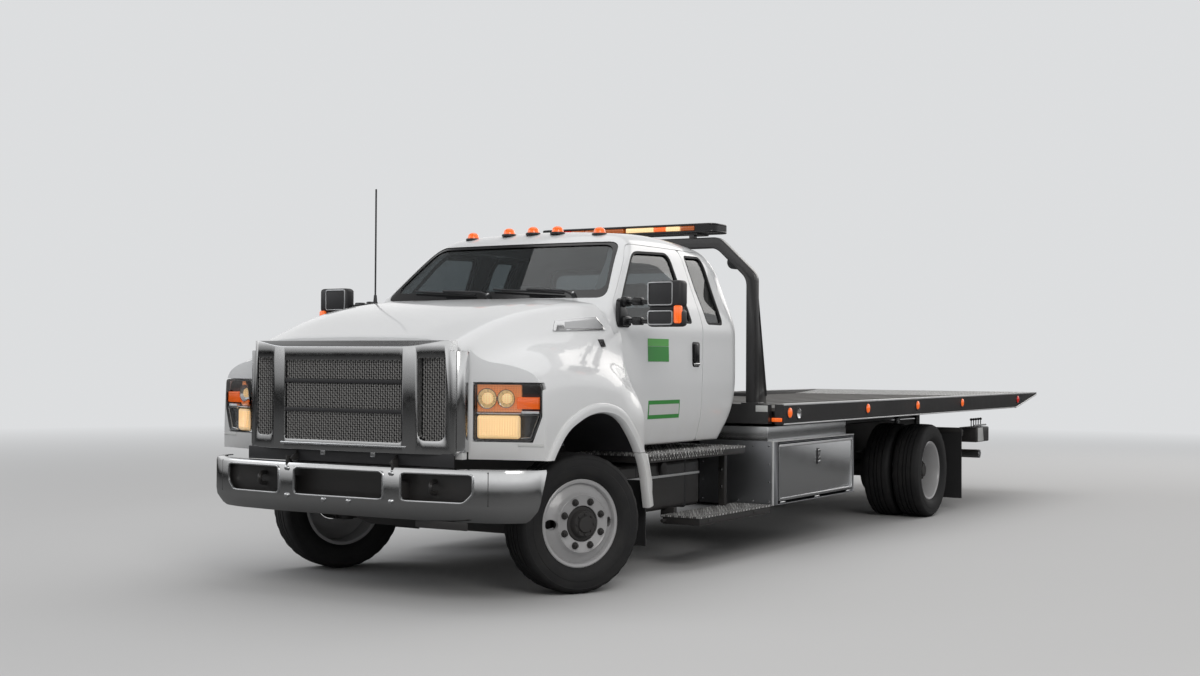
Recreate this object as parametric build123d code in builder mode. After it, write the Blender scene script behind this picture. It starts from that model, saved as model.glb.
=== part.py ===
from build123d import *
import math
import os

os.makedirs("parts", exist_ok=True)

# Rollback tow truck, in millimetres. +X is the vehicle's left, -Y is forward, +Z is up.
# The origin is on the ground, under the middle of the overall box.
# Stations along the truck are given behind the front axle, and at() turns one into Y.

# Overall
front_overhang = 1086
wheelbase = 5678
rear_overhang = 3102
front_axle_y = front_overhang - (front_overhang + wheelbase + rear_overhang) / 2
tail = wheelbase + rear_overhang
clearance = 6
wall = 60
door_gap = 7


def at(station):
    return front_axle_y + station


SIDES = (("left", 1), ("right", -1))


def block(x, y, z, mode=Mode.ADD):
    """A box from low and high limits along each axis."""
    centre = ((x[0] + x[1]) / 2, (y[0] + y[1]) / 2, (z[0] + z[1]) / 2)
    with Locations(centre):
        Box(abs(x[1] - x[0]), abs(y[1] - y[0]), abs(z[1] - z[0]), mode=mode)


def side_prism(points, x, mode=Mode.ADD):
    """A side outline of (station, z) points, extruded between two X places."""
    with BuildSketch(Plane.YZ.offset(min(x))) as outline:
        with BuildLine():
            Polyline(*[(at(s), z) for s, z in points], close=True)
        make_face()
    extrude(outline.sketch, amount=abs(x[1] - x[0]), mode=mode)


def front_prism(points, y, mode=Mode.ADD):
    """A front outline of (x, z) points, extruded between two Y places."""
    with BuildSketch(Plane.XZ.offset(-max(y))) as outline:
        with BuildLine():
            Polyline(*points, close=True)
        make_face()
    extrude(outline.sketch, amount=abs(y[1] - y[0]), mode=mode)


def plan_prism(points, z, mode=Mode.ADD):
    """A plan outline of (x, station) points, extruded between two heights."""
    with BuildSketch(Plane.XY.offset(min(z))) as outline:
        with BuildLine():
            Polyline(*[(x, at(s)) for x, s in points], close=True)
        make_face()
    extrude(outline.sketch, amount=abs(z[1] - z[0]), mode=mode)


def rod(start, end, radius, mode=Mode.ADD):
    """A round bar between two points."""
    line = Vector(*end) - Vector(*start)
    with BuildSketch(Plane(origin=start, z_dir=line)) as circle:
        Circle(radius)
    extrude(circle.sketch, amount=line.length, mode=mode)


def both(points):
    """A half outline of (x, z) points, mirrored to the right side."""
    return list(points) + [(-x, z) for x, z in reversed(points) if x]


def finish(piece, name):
    piece.part.label = name
    export_step(piece.part, f"parts/{name}.step")


# Frame rails
rail_outer = 465
rail_inner = 385
rail_bottom = 565
rail_top = 820
rail_web = 12
rail_front = -900
rail_rear = wheelbase + 1772
cross_members = (-760, 420, 1500, 2700, 3900, wheelbase - 678, wheelbase + 472, wheelbase + 1712)
front_hangers = (-760, 720)
rear_hangers = (wheelbase - 738, wheelbase + 722)
cross_depth = 60
cross_bottom = 690
cross_top = 800
spring_inner = 480
spring_outer = 560
spring_eye_z = (590, 660)

spring_outlines = [
    (
        [(-745, 590), (-100, 470), (100, 470), (745, 590)],
        [(745, 544), (100, 405), (-100, 405), (-745, 544)],
    ),
    (
        [(wheelbase - 718, 660), (wheelbase - 118, 560), (wheelbase + 122, 560), (wheelbase + 762, 660)],
        [(wheelbase + 762, 600), (wheelbase + 122, 496), (wheelbase - 118, 496), (wheelbase - 718, 600)],
    ),
]

# Axles and wheels
axle_z = 419
tyre_radius = 419
tyre_width = 248
rim_radius = 260
bead_radius = 247
barrel_radius = 236
rim_width = 190
disc_thickness = 14
kingpin_x = 842
front_offset = 135
steer_rest = -25.9
dual_spacing = 273
rear_outer_x = 1100
rear_inner_x = rear_outer_x - dual_spacing
nut_circle = 275 / 2
nut_count = 8
nut_radius = 16
spindle_radius = 35
run_fit = 0.05
hub_radius = 108
hand_hole_radius = 24
hand_holes = 5
hand_hole_circle = 193
kingpin_radius = 20
eye_radius = 44

# Cab
cab_front = 330
cab_rear = 2175
cab_bottom = 845
floor_top = 940
cab_half_width = 1017
cab_side = [
    (cab_front, cab_bottom),
    (cab_front, 1735),
    (835, 2195),
    (935, 2255),
    (1300, 2285),
    (1900, 2270),
    (2085, 2225),
    (2150, 2120),
    (cab_rear, 1600),
    (2150, 1150),
    (2037, 935),
    (1904, cab_bottom),
]
cab_cross = [
    (975, cab_bottom),
    (1008, 1000),
    (cab_half_width, 1150),
    (1012, 1500),
    (1003, 1640),
    (806, 2150),
    (735, 2225),
    (480, 2272),
    (0, 2288),
]
belt = 1645

# Doors, as (station, z) outlines
front_door = [
    (450, 850),
    (446, 1036),
    (402, 1314),
    (402, 1650),
    (432, 1740),
    (838, 2118),
    (905, 2165),
    (1575, 2165),
    (1502, 850),
]
rear_door = [
    (1509, 850),
    (1582, 2165),
    (1960, 2165),
    (1995, 1650),
    (1995, 1090),
    (1898, 920),
    (1850, 850),
]
front_window = [
    (470, belt),
    (470, 1716),
    (560, 1810),
    (892, 2118),
    (1400, 2135),
    (1412, belt),
]
rear_window = [
    (1625, belt),
    (1612, 1900),
    (1612, 2130),
    (1893, 2138),
    (1872, belt),
]
roof_lamp_places = [
    (0, 950, 2255),
    (200, 950, 2253),
    (-200, 950, 2253),
    (522, 970, 2240),
    (-522, 970, 2240),
]
roof_lamp_radius = 44
antenna_x = cab_half_width - 117
mirror_x = (cab_half_width + 183, cab_half_width + 433)
windshield_outline = [(-850, 1795), (850, 1795), (690, 2160), (-690, 2160)]
back_glass_outline = [(-650, 1660), (650, 1660), (600, 2080), (-600, 2080)]
glass_inset = 25
glass_thickness = 6

# Hood unit: half sections, one row a station, each (x, z) from the middle down to the lower edge
bumper_half = 1217
hood_front = -940
hood_bottom = 830
hood_wall = 40
fender_x = bumper_half
hood_sections = {
    hood_front: [(0, 1520), (500, 1514), (745, 1480), (840, 1362), (1030, 1312), (fender_x - 27, 1262)],
    -573: [(0, 1650), (560, 1643), (765, 1610), (905, 1468), (1050, 1430), (fender_x - 22, 1320)],
    -260: [(0, 1728), (600, 1720), (810, 1688), (965, 1500), (1065, 1440), (fender_x - 20, 1320)],
    80: [(0, 1775), (640, 1768), (850, 1738), (1000, 1540), (1075, 1420), (fender_x - 25, 1280)],
    392: [(0, 1792), (660, 1785), (905, 1745), (1040, 1560), (1046, 1400), (fender_x - 107, 1240)],
}
hood_rear = 320
cowl_side = 1023
arch = [
    (-720, 760),
    (-654, 850),
    (-530, 986),
    (-288, 1077),
    (-94, 1088),
    (88, 1047),
    (256, 895),
    (364, 732),
    (420, 480),
]
grille_front = -1045
grille_top = 1500
grille_bottom = 855
grille_half = 770
grille_plan = [
    (-grille_half, -944),
    (-grille_half, -975),
    (-500, grille_front),
    (500, grille_front),
    (grille_half, -975),
    (grille_half, -944),
]
mesh_half = 428
mesh_z = (933, 1389)
side_slot_x = (540, 690)
slat_pitch = 38
slat = (22, 6)
lamp_x = (832, fender_x - 37)
lamp_z = (930, 1250)
lamp_corner = (50, 140)
hood_hinge = (-1050, 803)
hinge_arm_x = 380
hinge_arm = [
    (-1050, 790),
    (-1063, 803),
    (-1050, 816),
    (-1000, 846),
    (-880, 860),
    (-880, 830),
    (-960, 800),
]

# Bumper
bumper_z = (483, 783)
bumper_end = -710
bumper_thickness = 70

# Carrier
deck_half = 1295
deck_front = 2262
deck_bottom = 940
deck_top = 1085
floor_z = (1035, 1047)
winch_floor = 1059
winch_pad_end = 2760
deck_inner = 1225
tail_rise = wheelbase + 2436
tail_underside = 956
tail_tip_bottom = 1062
cross_pitch = 420
cross_width = 50
tilt_pivot_y = wheelbase + 1672
tilt_pivot_z = 872
tilt_beam_x = (380, 455)
tilt_frame_z = (830, 934)
tilt_frame_front = 2420
tilt_pin_radius = 25
deck_sill_x = (300, 370)
arch_y = 2250
arch_legs_x = 1050
arch_bend_z = 2010
arch_top_z = 2265
arch_top_x = 775
arch_tube = (80, 60)
bar_y = 2320
bar_half = 762

# Tilt cylinders
barrel_pin = (wheelbase + 922, 430)
barrel_x = 540
cylinder_radius = 45
rod_radius = 28
rod_pin = (wheelbase + 922, 880)
cylinder_pin_radius = 20
rod_eye_hole = 26
rod_eye_radius = 40

# Wheel lift
boom_pivot = (wheelbase + 622, 475)
boom_half = 100
boom_wall = 10
boom_z = (400, 550)
boom_end = wheelbase + 1812
inner_half = 80
inner_z = (415, 535)
inner_start = boom_pivot[0] + 70
inner_end = boom_end + 10
bar_centre = inner_end + 90
bar_depth = 100
crossbar_half = 1050
swivel_radius = 22

# Mud flaps
flap_outer = rear_outer_x + 124
rear_flap_y = wheelbase + 802

# Boxes under the body
toolbox_x = (600, 1200)
toolbox_y = (2290, 3835)
toolbox_door_y = (2394, 3809)
toolbox_tray = ((620, 1160), (2290, 3760), (816, 925))
toolbox_z = (350, 816)
box_wall = 20
tank_x = (560, 880)
tank_y = (640, 1765)
tank_z = (385, 718)
upper_step = ((560, 1100), (629, 2059), (735, 798))
lower_step = ((900, 1200), (1167, 2280), (300, 366))


# Frame rails: two channels
with BuildPart() as frame:
    for _, side in SIDES:
        x_out = side * rail_outer
        x_in = side * rail_inner
        x_web = side * (rail_outer - rail_web)
        block((x_web, x_out), (at(rail_front), at(rail_rear)), (rail_bottom, rail_top))
        for z in (rail_bottom, rail_top - rail_web):
            block((x_in, x_out), (at(rail_front), at(rail_rear)), (z, z + rail_web))
finish(frame, "frame_rails")

with BuildPart() as crossers:
    for station in cross_members:
        block(
            (-rail_outer + rail_web, rail_outer - rail_web),
            (at(station), at(station + cross_depth)),
            (cross_bottom, cross_top),
        )
finish(crossers, "cross_members")

# Spring hangers, pivot ears of the tilt frame, brackets of its cylinders, ears of the wheel lift
with BuildPart() as brackets:
    for _, side in SIDES:
        for station in front_hangers + rear_hangers:
            low = spring_eye_z[station in rear_hangers]
            block(
                (side * spring_inner, side * spring_outer),
                (at(station), at(station + 50)),
                (low, 720),
            )
            block((side * rail_outer, side * spring_inner), (at(station), at(station + 50)), (640, 720))
        with BuildSketch(Plane.YZ.offset(min(side * 465, side * 485))):
            with Locations((at(tilt_pivot_y), tilt_pivot_z)):
                Circle(48)
            with Locations((at(tilt_pivot_y), (700 + tilt_pivot_z) / 2)):
                Rectangle(96, tilt_pivot_z - 700)
        extrude(amount=20)
        block(
            (side * rail_outer, side * (rail_outer + 14)),
            (at(barrel_pin[0] - 45), at(barrel_pin[0] + 45)),
            (barrel_pin[1] - 45, 700),
        )
        rod(
            (side * rail_outer, at(barrel_pin[0]), barrel_pin[1]),
            (side * (barrel_x + 40), at(barrel_pin[0]), barrel_pin[1]),
            cylinder_pin_radius,
        )
        x = (side * (boom_half + 6), side * (boom_half + 26))
        ear = (at(boom_pivot[0] - 60), at(boom_pivot[0] + 60))
        block(x, ear, (430, cross_bottom))
        block(x, (at(boom_pivot[0] - 150), ear[1]), (cross_bottom - 40, cross_bottom))
    rod(
        (-boom_half - 26, at(boom_pivot[0]), boom_pivot[1]),
        (boom_half + 26, at(boom_pivot[0]), boom_pivot[1]),
        tilt_pin_radius,
    )
finish(brackets, "frame_brackets")

# Engine as one plain block, with the radiator ahead of it and the gearbox and shaft behind
with BuildPart() as engine:
    block((-290, 290), (at(-520), at(290)), (640, 1400))
    rail_web_inner = rail_outer - rail_web
    block((-rail_web_inner, rail_web_inner), (at(-150), at(-80)), (700, 740))
    block((-380, 380), (at(-760), at(-650)), (cross_top, 1380))
    block((-190, 190), (at(290), at(1000)), (560, cross_bottom))
    rod((0, at(1000), 620), (0, at(wheelbase - 208), 440), 45)
finish(engine, "engine_and_gearbox")

with BuildPart() as exhaust:
    rod((-300, at(1150), 470), (-300, at(2250), 470), 85)
    rod((-300, at(2250), 470), (-300, at(wheelbase - 1378), 470), 38)
    rod((-300, at(wheelbase - 1378), 470), (-660, at(wheelbase - 978), 470), 38)
    rod((-300, at(600), 470), (-300, at(1150), 470), 38)
    for station in (1400, 2000):
        block((-412, -384), (at(station), at(station + 30)), (440, rail_bottom))
        block((-390, -370), (at(station), at(station + 30)), (440, 500))
finish(exhaust, "exhaust")

# Springs: one outline for the front pair and one for the rear pair
with BuildPart() as springs:
    for _, side in SIDES:
        x = (side * spring_inner, side * spring_outer)
        for top, under in spring_outlines:
            side_prism(top + under, x)
finish(springs, "leaf_springs")

# Front axle: dropped beam with an eye for each kingpin
with BuildPart() as front_axle:
    beam = [(600, 318), (800, 375), (800, 460), (600, 403)]
    front_prism(both(beam), (at(-45), at(45)))
    for _, side in SIDES:
        rod((side * kingpin_x, at(0), 372), (side * kingpin_x, at(0), 466), eye_radius)
    for _, side in SIDES:
        bore = kingpin_radius + run_fit
        rod((side * kingpin_x, at(0), 360), (side * kingpin_x, at(0), 480), bore, Mode.SUBTRACT)
finish(front_axle, "front_axle")

# Rear axle: tube with its banjo housing in one turned outline, and the drums
axle_outline = [
    (-610, 0),
    (-610, 75),
    (-250, 75),
    (-190, 150),
    (-90, 205),
    (90, 205),
    (190, 150),
    (250, 75),
    (610, 75),
    (610, 0),
]
axle_middle = (0, at(wheelbase), axle_z)
with BuildPart() as rear_axle:
    with BuildSketch(Plane(origin=axle_middle, x_dir=(1, 0, 0), z_dir=(0, -1, 0))) as half_axle:
        with BuildLine():
            Polyline(*axle_outline, close=True)
        make_face()
    revolve(half_axle.sketch, axis=Axis(axle_middle, (1, 0, 0)))
    for _, side in SIDES:
        rod((side * 600, at(wheelbase), axle_z), (side * 780, at(wheelbase), axle_z), 200)
        rod((side * 760, at(wheelbase), axle_z), (side * 1000, at(wheelbase), axle_z), spindle_radius)
finish(rear_axle, "rear_axle")


def wheel_plane(centre, axle):
    """The plane in which a wheel's half section is drawn: x outwards along the axle, y up."""
    return Plane(origin=centre, x_dir=axle, z_dir=Vector(*axle).cross(Vector(0, 0, 1)))


def tyre(centre, axle):
    half = tyre_width / 2
    tread = 0.82 * half
    seat = rim_width / 2 - 17
    section = [
        (-seat, bead_radius),
        (-seat - 8, rim_radius + 2),
        (-half * 0.98, bead_radius + 55),
        (-half, bead_radius + 90),
        (-half * 0.97, tyre_radius - 35),
        (-tread, tyre_radius - 4),
        (-tread * 0.5, tyre_radius),
        (tread * 0.5, tyre_radius),
        (tread, tyre_radius - 4),
        (half * 0.97, tyre_radius - 35),
        (half, bead_radius + 90),
        (half * 0.98, bead_radius + 55),
        (seat + 8, rim_radius + 2),
        (seat, bead_radius),
    ]
    with BuildSketch(wheel_plane(centre, axle)) as outline:
        with BuildLine():
            Polyline(*section, close=True)
        make_face()
    revolve(outline.sketch, axis=Axis(centre, axle))


def rim(centre, axle, disc_at, hub_to, nuts_at):
    """A disc wheel. disc_at is the disc's hub face from the wheel's middle, positive outwards."""
    half = rim_width / 2
    lip = [
        (-half, rim_radius),
        (-half, barrel_radius),
        (half, barrel_radius),
        (half, rim_radius),
        (half - 8, rim_radius),
        (half - 16, bead_radius),
        (half - 50, bead_radius),
        (-half + 50, bead_radius),
        (-half + 16, bead_radius),
        (-half + 8, rim_radius),
    ]
    sign = 1 if disc_at > 0 else -1
    root = sign * (half - 30)
    disc = [
        (hub_to, spindle_radius + run_fit),
        (hub_to, hub_radius),
        (disc_at - disc_thickness, hub_radius),
        (disc_at - disc_thickness, nut_circle + 22),
        (root - disc_thickness, barrel_radius - 8),
        (root - disc_thickness, barrel_radius + 4),
        (root, barrel_radius + 4),
        (root, barrel_radius - 8),
        (disc_at, nut_circle + 30),
        (disc_at, hub_radius),
        (disc_at + 30, hub_radius - 12),
        (disc_at + 30, spindle_radius + run_fit),
    ]
    plane = wheel_plane(centre, axle)
    for outline in (lip, disc):
        with BuildSketch(plane) as section:
            with BuildLine():
                Polyline(*outline, close=True)
            make_face()
        revolve(section.sketch, axis=Axis(centre, axle))
    face = Plane(origin=centre, x_dir=(0, 0, 1), z_dir=axle)
    with BuildSketch(face.offset(-half)) as windows:
        with PolarLocations(hand_hole_circle, hand_holes):
            Circle(hand_hole_radius)
    extrude(windows.sketch, amount=rim_width + 60, mode=Mode.SUBTRACT)
    with BuildSketch(face.offset(nuts_at)) as nuts:
        with PolarLocations(nut_circle, nut_count):
            RegularPolygon(nut_radius, 6)
    extrude(nuts.sketch, amount=24)


turn = math.radians(steer_rest)
for name, side in SIDES:
    axle = (side * math.cos(turn), side * math.sin(turn), 0)
    along = (-math.sin(turn), math.cos(turn), 0)
    pivot = Vector(side * kingpin_x, at(0), axle_z)
    centre = pivot + Vector(*axle) * front_offset
    # Knuckle: two ears on the kingpin, the spindle and the steering arm
    with BuildPart() as knuckle:
        rod((pivot.X, pivot.Y, 335), (pivot.X, pivot.Y, 503), kingpin_radius)
        for low, high in ((472, 506), (332, 366)):
            rod((pivot.X, pivot.Y, low), (pivot.X, pivot.Y, high), eye_radius)
            with BuildSketch(Plane(origin=(pivot.X, pivot.Y, low), x_dir=axle, z_dir=(0, 0, 1))):
                with Locations((40, 0)):
                    Rectangle(80, 84)
            extrude(amount=high - low)
        with BuildSketch(Plane(origin=pivot + Vector(*axle) * 52, x_dir=along, z_dir=axle)):
            Rectangle(100, 174)
        extrude(amount=26)
        spindle_start = pivot + Vector(*axle) * 70
        spindle_end = pivot + Vector(*axle) * 250
        rod(spindle_start, spindle_end, spindle_radius)
        with BuildSketch(Plane(origin=(pivot.X, pivot.Y, 336), x_dir=along, z_dir=(0, 0, 1))):
            with Locations((100, 0)):
                Rectangle(200, 40)
        extrude(amount=26)
    finish(knuckle, f"knuckle_{name}")
    with BuildPart() as front_tyre:
        tyre(centre, axle)
    finish(front_tyre, f"front_tyre_{name}")
    with BuildPart() as front_rim:
        rim(centre, axle, 118, -25, 116)
    finish(front_rim, f"front_wheel_{name}")
    # Twin rear wheels, outer one dished in and inner one dished out
    outwards = (side, 0, 0)
    inwards = (-side, 0, 0)
    outer = Vector(side * rear_outer_x, at(wheelbase), axle_z)
    inner = Vector(side * rear_inner_x, at(wheelbase), axle_z)
    with BuildPart() as twin_tyres:
        tyre(outer, outwards)
        tyre(inner, outwards)
    finish(twin_tyres, f"rear_tyres_{name}")
    with BuildPart() as twin_rims:
        rim(outer, inwards, dual_spacing / 2, -60, dual_spacing / 2 - disc_thickness - 22)
        rim(inner, outwards, dual_spacing / 2 - 2, 40, dual_spacing / 2 - 30)
    finish(twin_rims, f"rear_wheels_{name}")

# Front bumper with its five openings and the panel above it
bumper_outer = [
    (-bumper_half, bumper_end),
    (22 - bumper_half, -830),
    (127 - bumper_half, -955),
    (317 - bumper_half, -1030),
    (-430, -front_overhang),
    (430, -front_overhang),
    (bumper_half - 317, -1030),
    (bumper_half - 127, -955),
    (bumper_half - 22, -830),
    (bumper_half, bumper_end),
]
bumper_inner = [
    (bumper_half - bumper_thickness, bumper_end),
    (bumper_half - 22 - bumper_thickness, -810),
    (bumper_half - 167, -905),
    (bumper_half - 337, -968),
    (420, -front_overhang + bumper_thickness),
    (-420, -front_overhang + bumper_thickness),
    (337 - bumper_half, -968),
    (167 - bumper_half, -905),
    (22 - bumper_half + bumper_thickness, -810),
    (-bumper_half + bumper_thickness, bumper_end),
]
with BuildPart() as bumper:
    plan_prism(bumper_outer + bumper_inner, bumper_z)
    for x0, x1 in ((-328, 328), (462, 911), (-911, -462)):
        block((x0, x1), (at(-1200), at(-900)), (600, 748), Mode.SUBTRACT)
    for _, side in SIDES:
        # arms back to the frame rails, and ears for the hood's hinge
        block((side * 395, side * 455), (at(-1030), at(rail_front)), (600, 700))
        block(
            (side * (hinge_arm_x + 10), side * (hinge_arm_x + 22)),
            (at(-1075), at(-1025)),
            (bumper_z[1] - 20, 818),
        )
        rod(
            (side * (hinge_arm_x - 4), at(hood_hinge[0]), hood_hinge[1]),
            (side * (hinge_arm_x + 22), at(hood_hinge[0]), hood_hinge[1]),
            6,
        )
finish(bumper, "front_bumper")

# Cab shell: side outline met by the cross outline, hollowed, with doors and windows cut
cab_inner_side = [
    (cab_front + wall, floor_top),
    (cab_front + wall, 1712),
    (872, 2148),
    (955, 2200),
    (1300, 2228),
    (1890, 2213),
    (2045, 2180),
    (2090, 2100),
    (cab_rear - wall, 1600),
    (2090, 1160),
    (1985, 965),
    (1950, floor_top),
]
cab_inner_cross = [
    (935, floor_top),
    (950, 1000),
    (cab_half_width - wall, 1150),
    (1012 - wall, 1500),
    (1003 - wall, 1640),
    (756, 2125),
    (700, 2175),
    (460, 2215),
    (0, 2230),
]
band_outer = cab_cross[:7]


def side_band(side, depth=(0, wall), mode=Mode.ADD):
    """The cab's side wall as a full-length solid, between two depths below its skin."""
    outer = [(side * (x - depth[0]), z) for x, z in band_outer]
    inner = [(side * (x - depth[1]), z) for x, z in band_outer]
    front_prism(outer + inner[::-1], (at(200), at(2300)), mode)


def grow(points, amount):
    """An outline moved outwards by a gap, from the middle of its box."""
    with BuildSketch() as sketch:
        with BuildLine():
            Polyline(*points, close=True)
        make_face()
        offset(amount=amount, kind=Kind.INTERSECTION)
    wire = sketch.faces()[0].outer_wire()
    return [(v.X, v.Y) for v in [e.position_at(0) for e in wire.order_edges()]]


with BuildPart() as cab:
    front_prism(both(cab_cross), (at(200), at(2300)))
    side_prism(cab_side, (-1100, 1100), Mode.INTERSECT)
    with BuildPart(mode=Mode.PRIVATE) as cavity:
        front_prism(both(cab_inner_cross), (at(200), at(2300)))
        side_prism(cab_inner_side, (-1100, 1100), Mode.INTERSECT)
    add(cavity.part, mode=Mode.SUBTRACT)
    for _, side in SIDES:
        for outline in (front_door, rear_door):
            with BuildPart(mode=Mode.PRIVATE) as opening:
                side_band(side, (-20, wall + 0.5))
                side_prism(grow(outline, door_gap / 2), (side * 600, side * 1100), Mode.INTERSECT)
            add(opening.part, mode=Mode.SUBTRACT)
    front_prism(windshield_outline, (at(200), at(1000)), Mode.SUBTRACT)
    front_prism(back_glass_outline, (at(2000), at(2300)), Mode.SUBTRACT)
finish(cab, "cab_shell")

with BuildPart() as cab_glass:
    front_prism(windshield_outline, (at(200), at(1000)))
    side_prism([(368, 1738), (845, 2173), (849, 2168), (372, 1732)], (-900, 900), Mode.INTERSECT)
    with BuildPart(mode=Mode.PRIVATE) as back_glass:
        front_prism(back_glass_outline, (at(2000), at(2300)))
        side_prism(
            [(cab_rear - 30, 1600), (2122, 2120), (2116, 2120), (cab_rear - 36, 1600)],
            (-700, 700),
            Mode.INTERSECT,
        )
    add(back_glass.part)
finish(cab_glass, "cab_glass")

for name, side in SIDES:
    for place, outline, window in (("front", front_door, front_window), ("rear", rear_door, rear_window)):
        with BuildPart() as door:
            side_band(side)
            side_prism(grow(outline, -door_gap / 2), (side * 600, side * 1100), Mode.INTERSECT)
            side_prism(window, (side * 600, side * 1100), Mode.SUBTRACT)
            if place == "rear":
                # the front edge is rebated, so that it swings clear of the front door
                with BuildPart(mode=Mode.PRIVATE) as rebate:
                    side_band(side, (15, wall + 5))
                    rebate_outline = [(1480, 800), (1560, 2240), (1614, 2240), (1541, 800)]
                    side_prism(rebate_outline, (side * 600, side * 1100), Mode.INTERSECT)
                add(rebate.part, mode=Mode.SUBTRACT)
        finish(door, f"{place}_door_{name}")
        with BuildPart() as pane:
            side_band(side, (glass_inset, glass_inset + glass_thickness))
            side_prism(window, (side * 600, side * 1100), Mode.INTERSECT)
        finish(pane, f"{place}_door_glass_{name}")
    with BuildPart() as mirror:
        block((side * mirror_x[0], side * mirror_x[1]), (at(390), at(500)), (1600, 1890))
        for z in (1632, 1722):
            rod((side * (cab_half_width - 67), at(480), z), (side * (mirror_x[0] + 10), at(450), z), 14)
        side_band(side, mode=Mode.SUBTRACT)
    finish(mirror, f"mirror_{name}")

# Cab inside
with BuildPart() as dashboard:
    firewall = cab_front + wall
    side_prism(
        [(firewall, 1150), (firewall, 1690), (640, 1690), (760, 1600), (700, 1250), (560, 1150)],
        (-880, 880),
    )
    rod((430, at(700), 1450), (430, at(800), 1500), 22)
    with Locations(Location((430, at(815), 1508), (-63, 0, 0))):
        Torus(200, 14)
        Box(380, 36, 16)
finish(dashboard, "dashboard")

with BuildPart() as seats:
    for _, side in SIDES:
        x = (side * 160, side * 680)
        side_prism(
            [(900, floor_top), (900, 1250), (1380, 1230), (1500, 1780), (1600, 1780), (1520, floor_top)],
            x,
        )
        block((side * 300, side * 540), (at(1510), at(1600)), (1770, 1920))
    side_prism(
        [(1700, floor_top), (1700, 1200), (1960, 1190), (2010, 1640), (2060, 1640), (1960, 1000)],
        (-780, 780),
    )
finish(seats, "seats")

with BuildPart() as roof_lamps:
    for x, station, z in roof_lamp_places:
        rod((x, at(station), z - 10), (x, at(station), z + 18), roof_lamp_radius)
        rod((x, at(station), z + 18), (x, at(station), z + 50), roof_lamp_radius - 14)
    add(cab.part, mode=Mode.SUBTRACT)
finish(roof_lamps, "roof_lamps")

with BuildPart() as antenna:
    rod((-antenna_x, at(352), 1740), (-antenna_x, at(352), 2560), 6)
    add(cab.part, mode=Mode.SUBTRACT)
finish(antenna, "antenna")


# Hood unit
def hood_loft(inset, first, last):
    sections = []
    for station, points in hood_sections.items():
        row = [(max(x - inset, 0) if x else 0, z - inset) for x, z in points]
        low_x = fender_x - inset - (12 if station > 300 else 0)
        row += [(low_x, 1080 - inset), (low_x, hood_bottom - (10 if inset else 0))]
        y = station
        if station == hood_front:
            y = first
        if station > 300:
            y = last
        with BuildSketch(Plane.XZ.offset(-at(y))) as section:
            with BuildLine():
                Polyline(*both(row[::-1]), close=True)
            make_face()
        sections.append(section.sketch.faces()[0])
    loft(sections, ruled=True)


def front_corner(inset):
    """Cuts the swept-back front corners and the arches, or the matching hollow behind them."""
    for _, side in SIDES:
        plan_prism(
            [
                (side * 790, -1000),
                (side * 790, -882 + inset),
                (side * (fender_x + 23), -742 + inset),
                (side * (fender_x + 83), -742 + inset),
                (side * (fender_x + 83), -1000),
            ],
            (700, 1600),
            Mode.SUBTRACT,
        )


with BuildPart() as hood:
    hood_loft(0, hood_front, 392)
    front_corner(0)
    with BuildPart(mode=Mode.PRIVATE) as hollow:
        hood_loft(hood_wall, hood_front + 50, 400)
        front_corner(50)
    add(hollow.part, mode=Mode.SUBTRACT)
    block((-cowl_side, cowl_side), (at(hood_rear), at(420)), (700, 1900), Mode.SUBTRACT)
    block((-700, 700), (at(-1000), at(-860)), (905, 1440), Mode.SUBTRACT)
    for _, side in SIDES:
        side_prism(arch, (side * 900, side * 1300), Mode.SUBTRACT)
        front_prism(
            [
                (side * lamp_x[0], lamp_z[0]),
                (side * (lamp_x[1] - lamp_corner[0]), lamp_z[0]),
                (side * lamp_x[1], lamp_z[0] + lamp_corner[1]),
                (side * lamp_x[1], lamp_z[1]),
                (side * lamp_x[0], lamp_z[1]),
            ],
            (at(-1000), at(-720)),
            Mode.SUBTRACT,
        )
        side_prism(hinge_arm, (side * (hinge_arm_x - 12), side * hinge_arm_x))
        rod(
            (side * (hinge_arm_x - 14), at(hood_hinge[0]), hood_hinge[1]),
            (side * (hinge_arm_x + 2), at(hood_hinge[0]), hood_hinge[1]),
            6 + run_fit,
            Mode.SUBTRACT,
        )
finish(hood, "hood")

with BuildPart() as grille:
    with BuildSketch(Plane.XY.offset(grille_bottom)):
        with BuildLine():
            Polyline(*[(x, at(s)) for x, s in grille_plan], close=True)
        make_face()
    extrude(amount=grille_top - grille_bottom)
    block((-mesh_half, mesh_half), (at(-1100), at(-996)), mesh_z, Mode.SUBTRACT)
    for _, side in SIDES:
        slot = (side * side_slot_x[0], side * side_slot_x[1])
        block(slot, (at(-1100), at(-970)), mesh_z, Mode.SUBTRACT)
    # slats across the middle opening
    slat_count = round((mesh_z[1] - mesh_z[0]) / slat_pitch)
    for i in range(1, slat_count):
        z = mesh_z[0] + i * (mesh_z[1] - mesh_z[0]) / slat_count
        block(
            (-mesh_half, mesh_half),
            (at(grille_front + 10), at(grille_front + 10 + slat[0])),
            (z - slat[1] / 2, z + slat[1] / 2),
        )
finish(grille, "grille")

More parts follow.
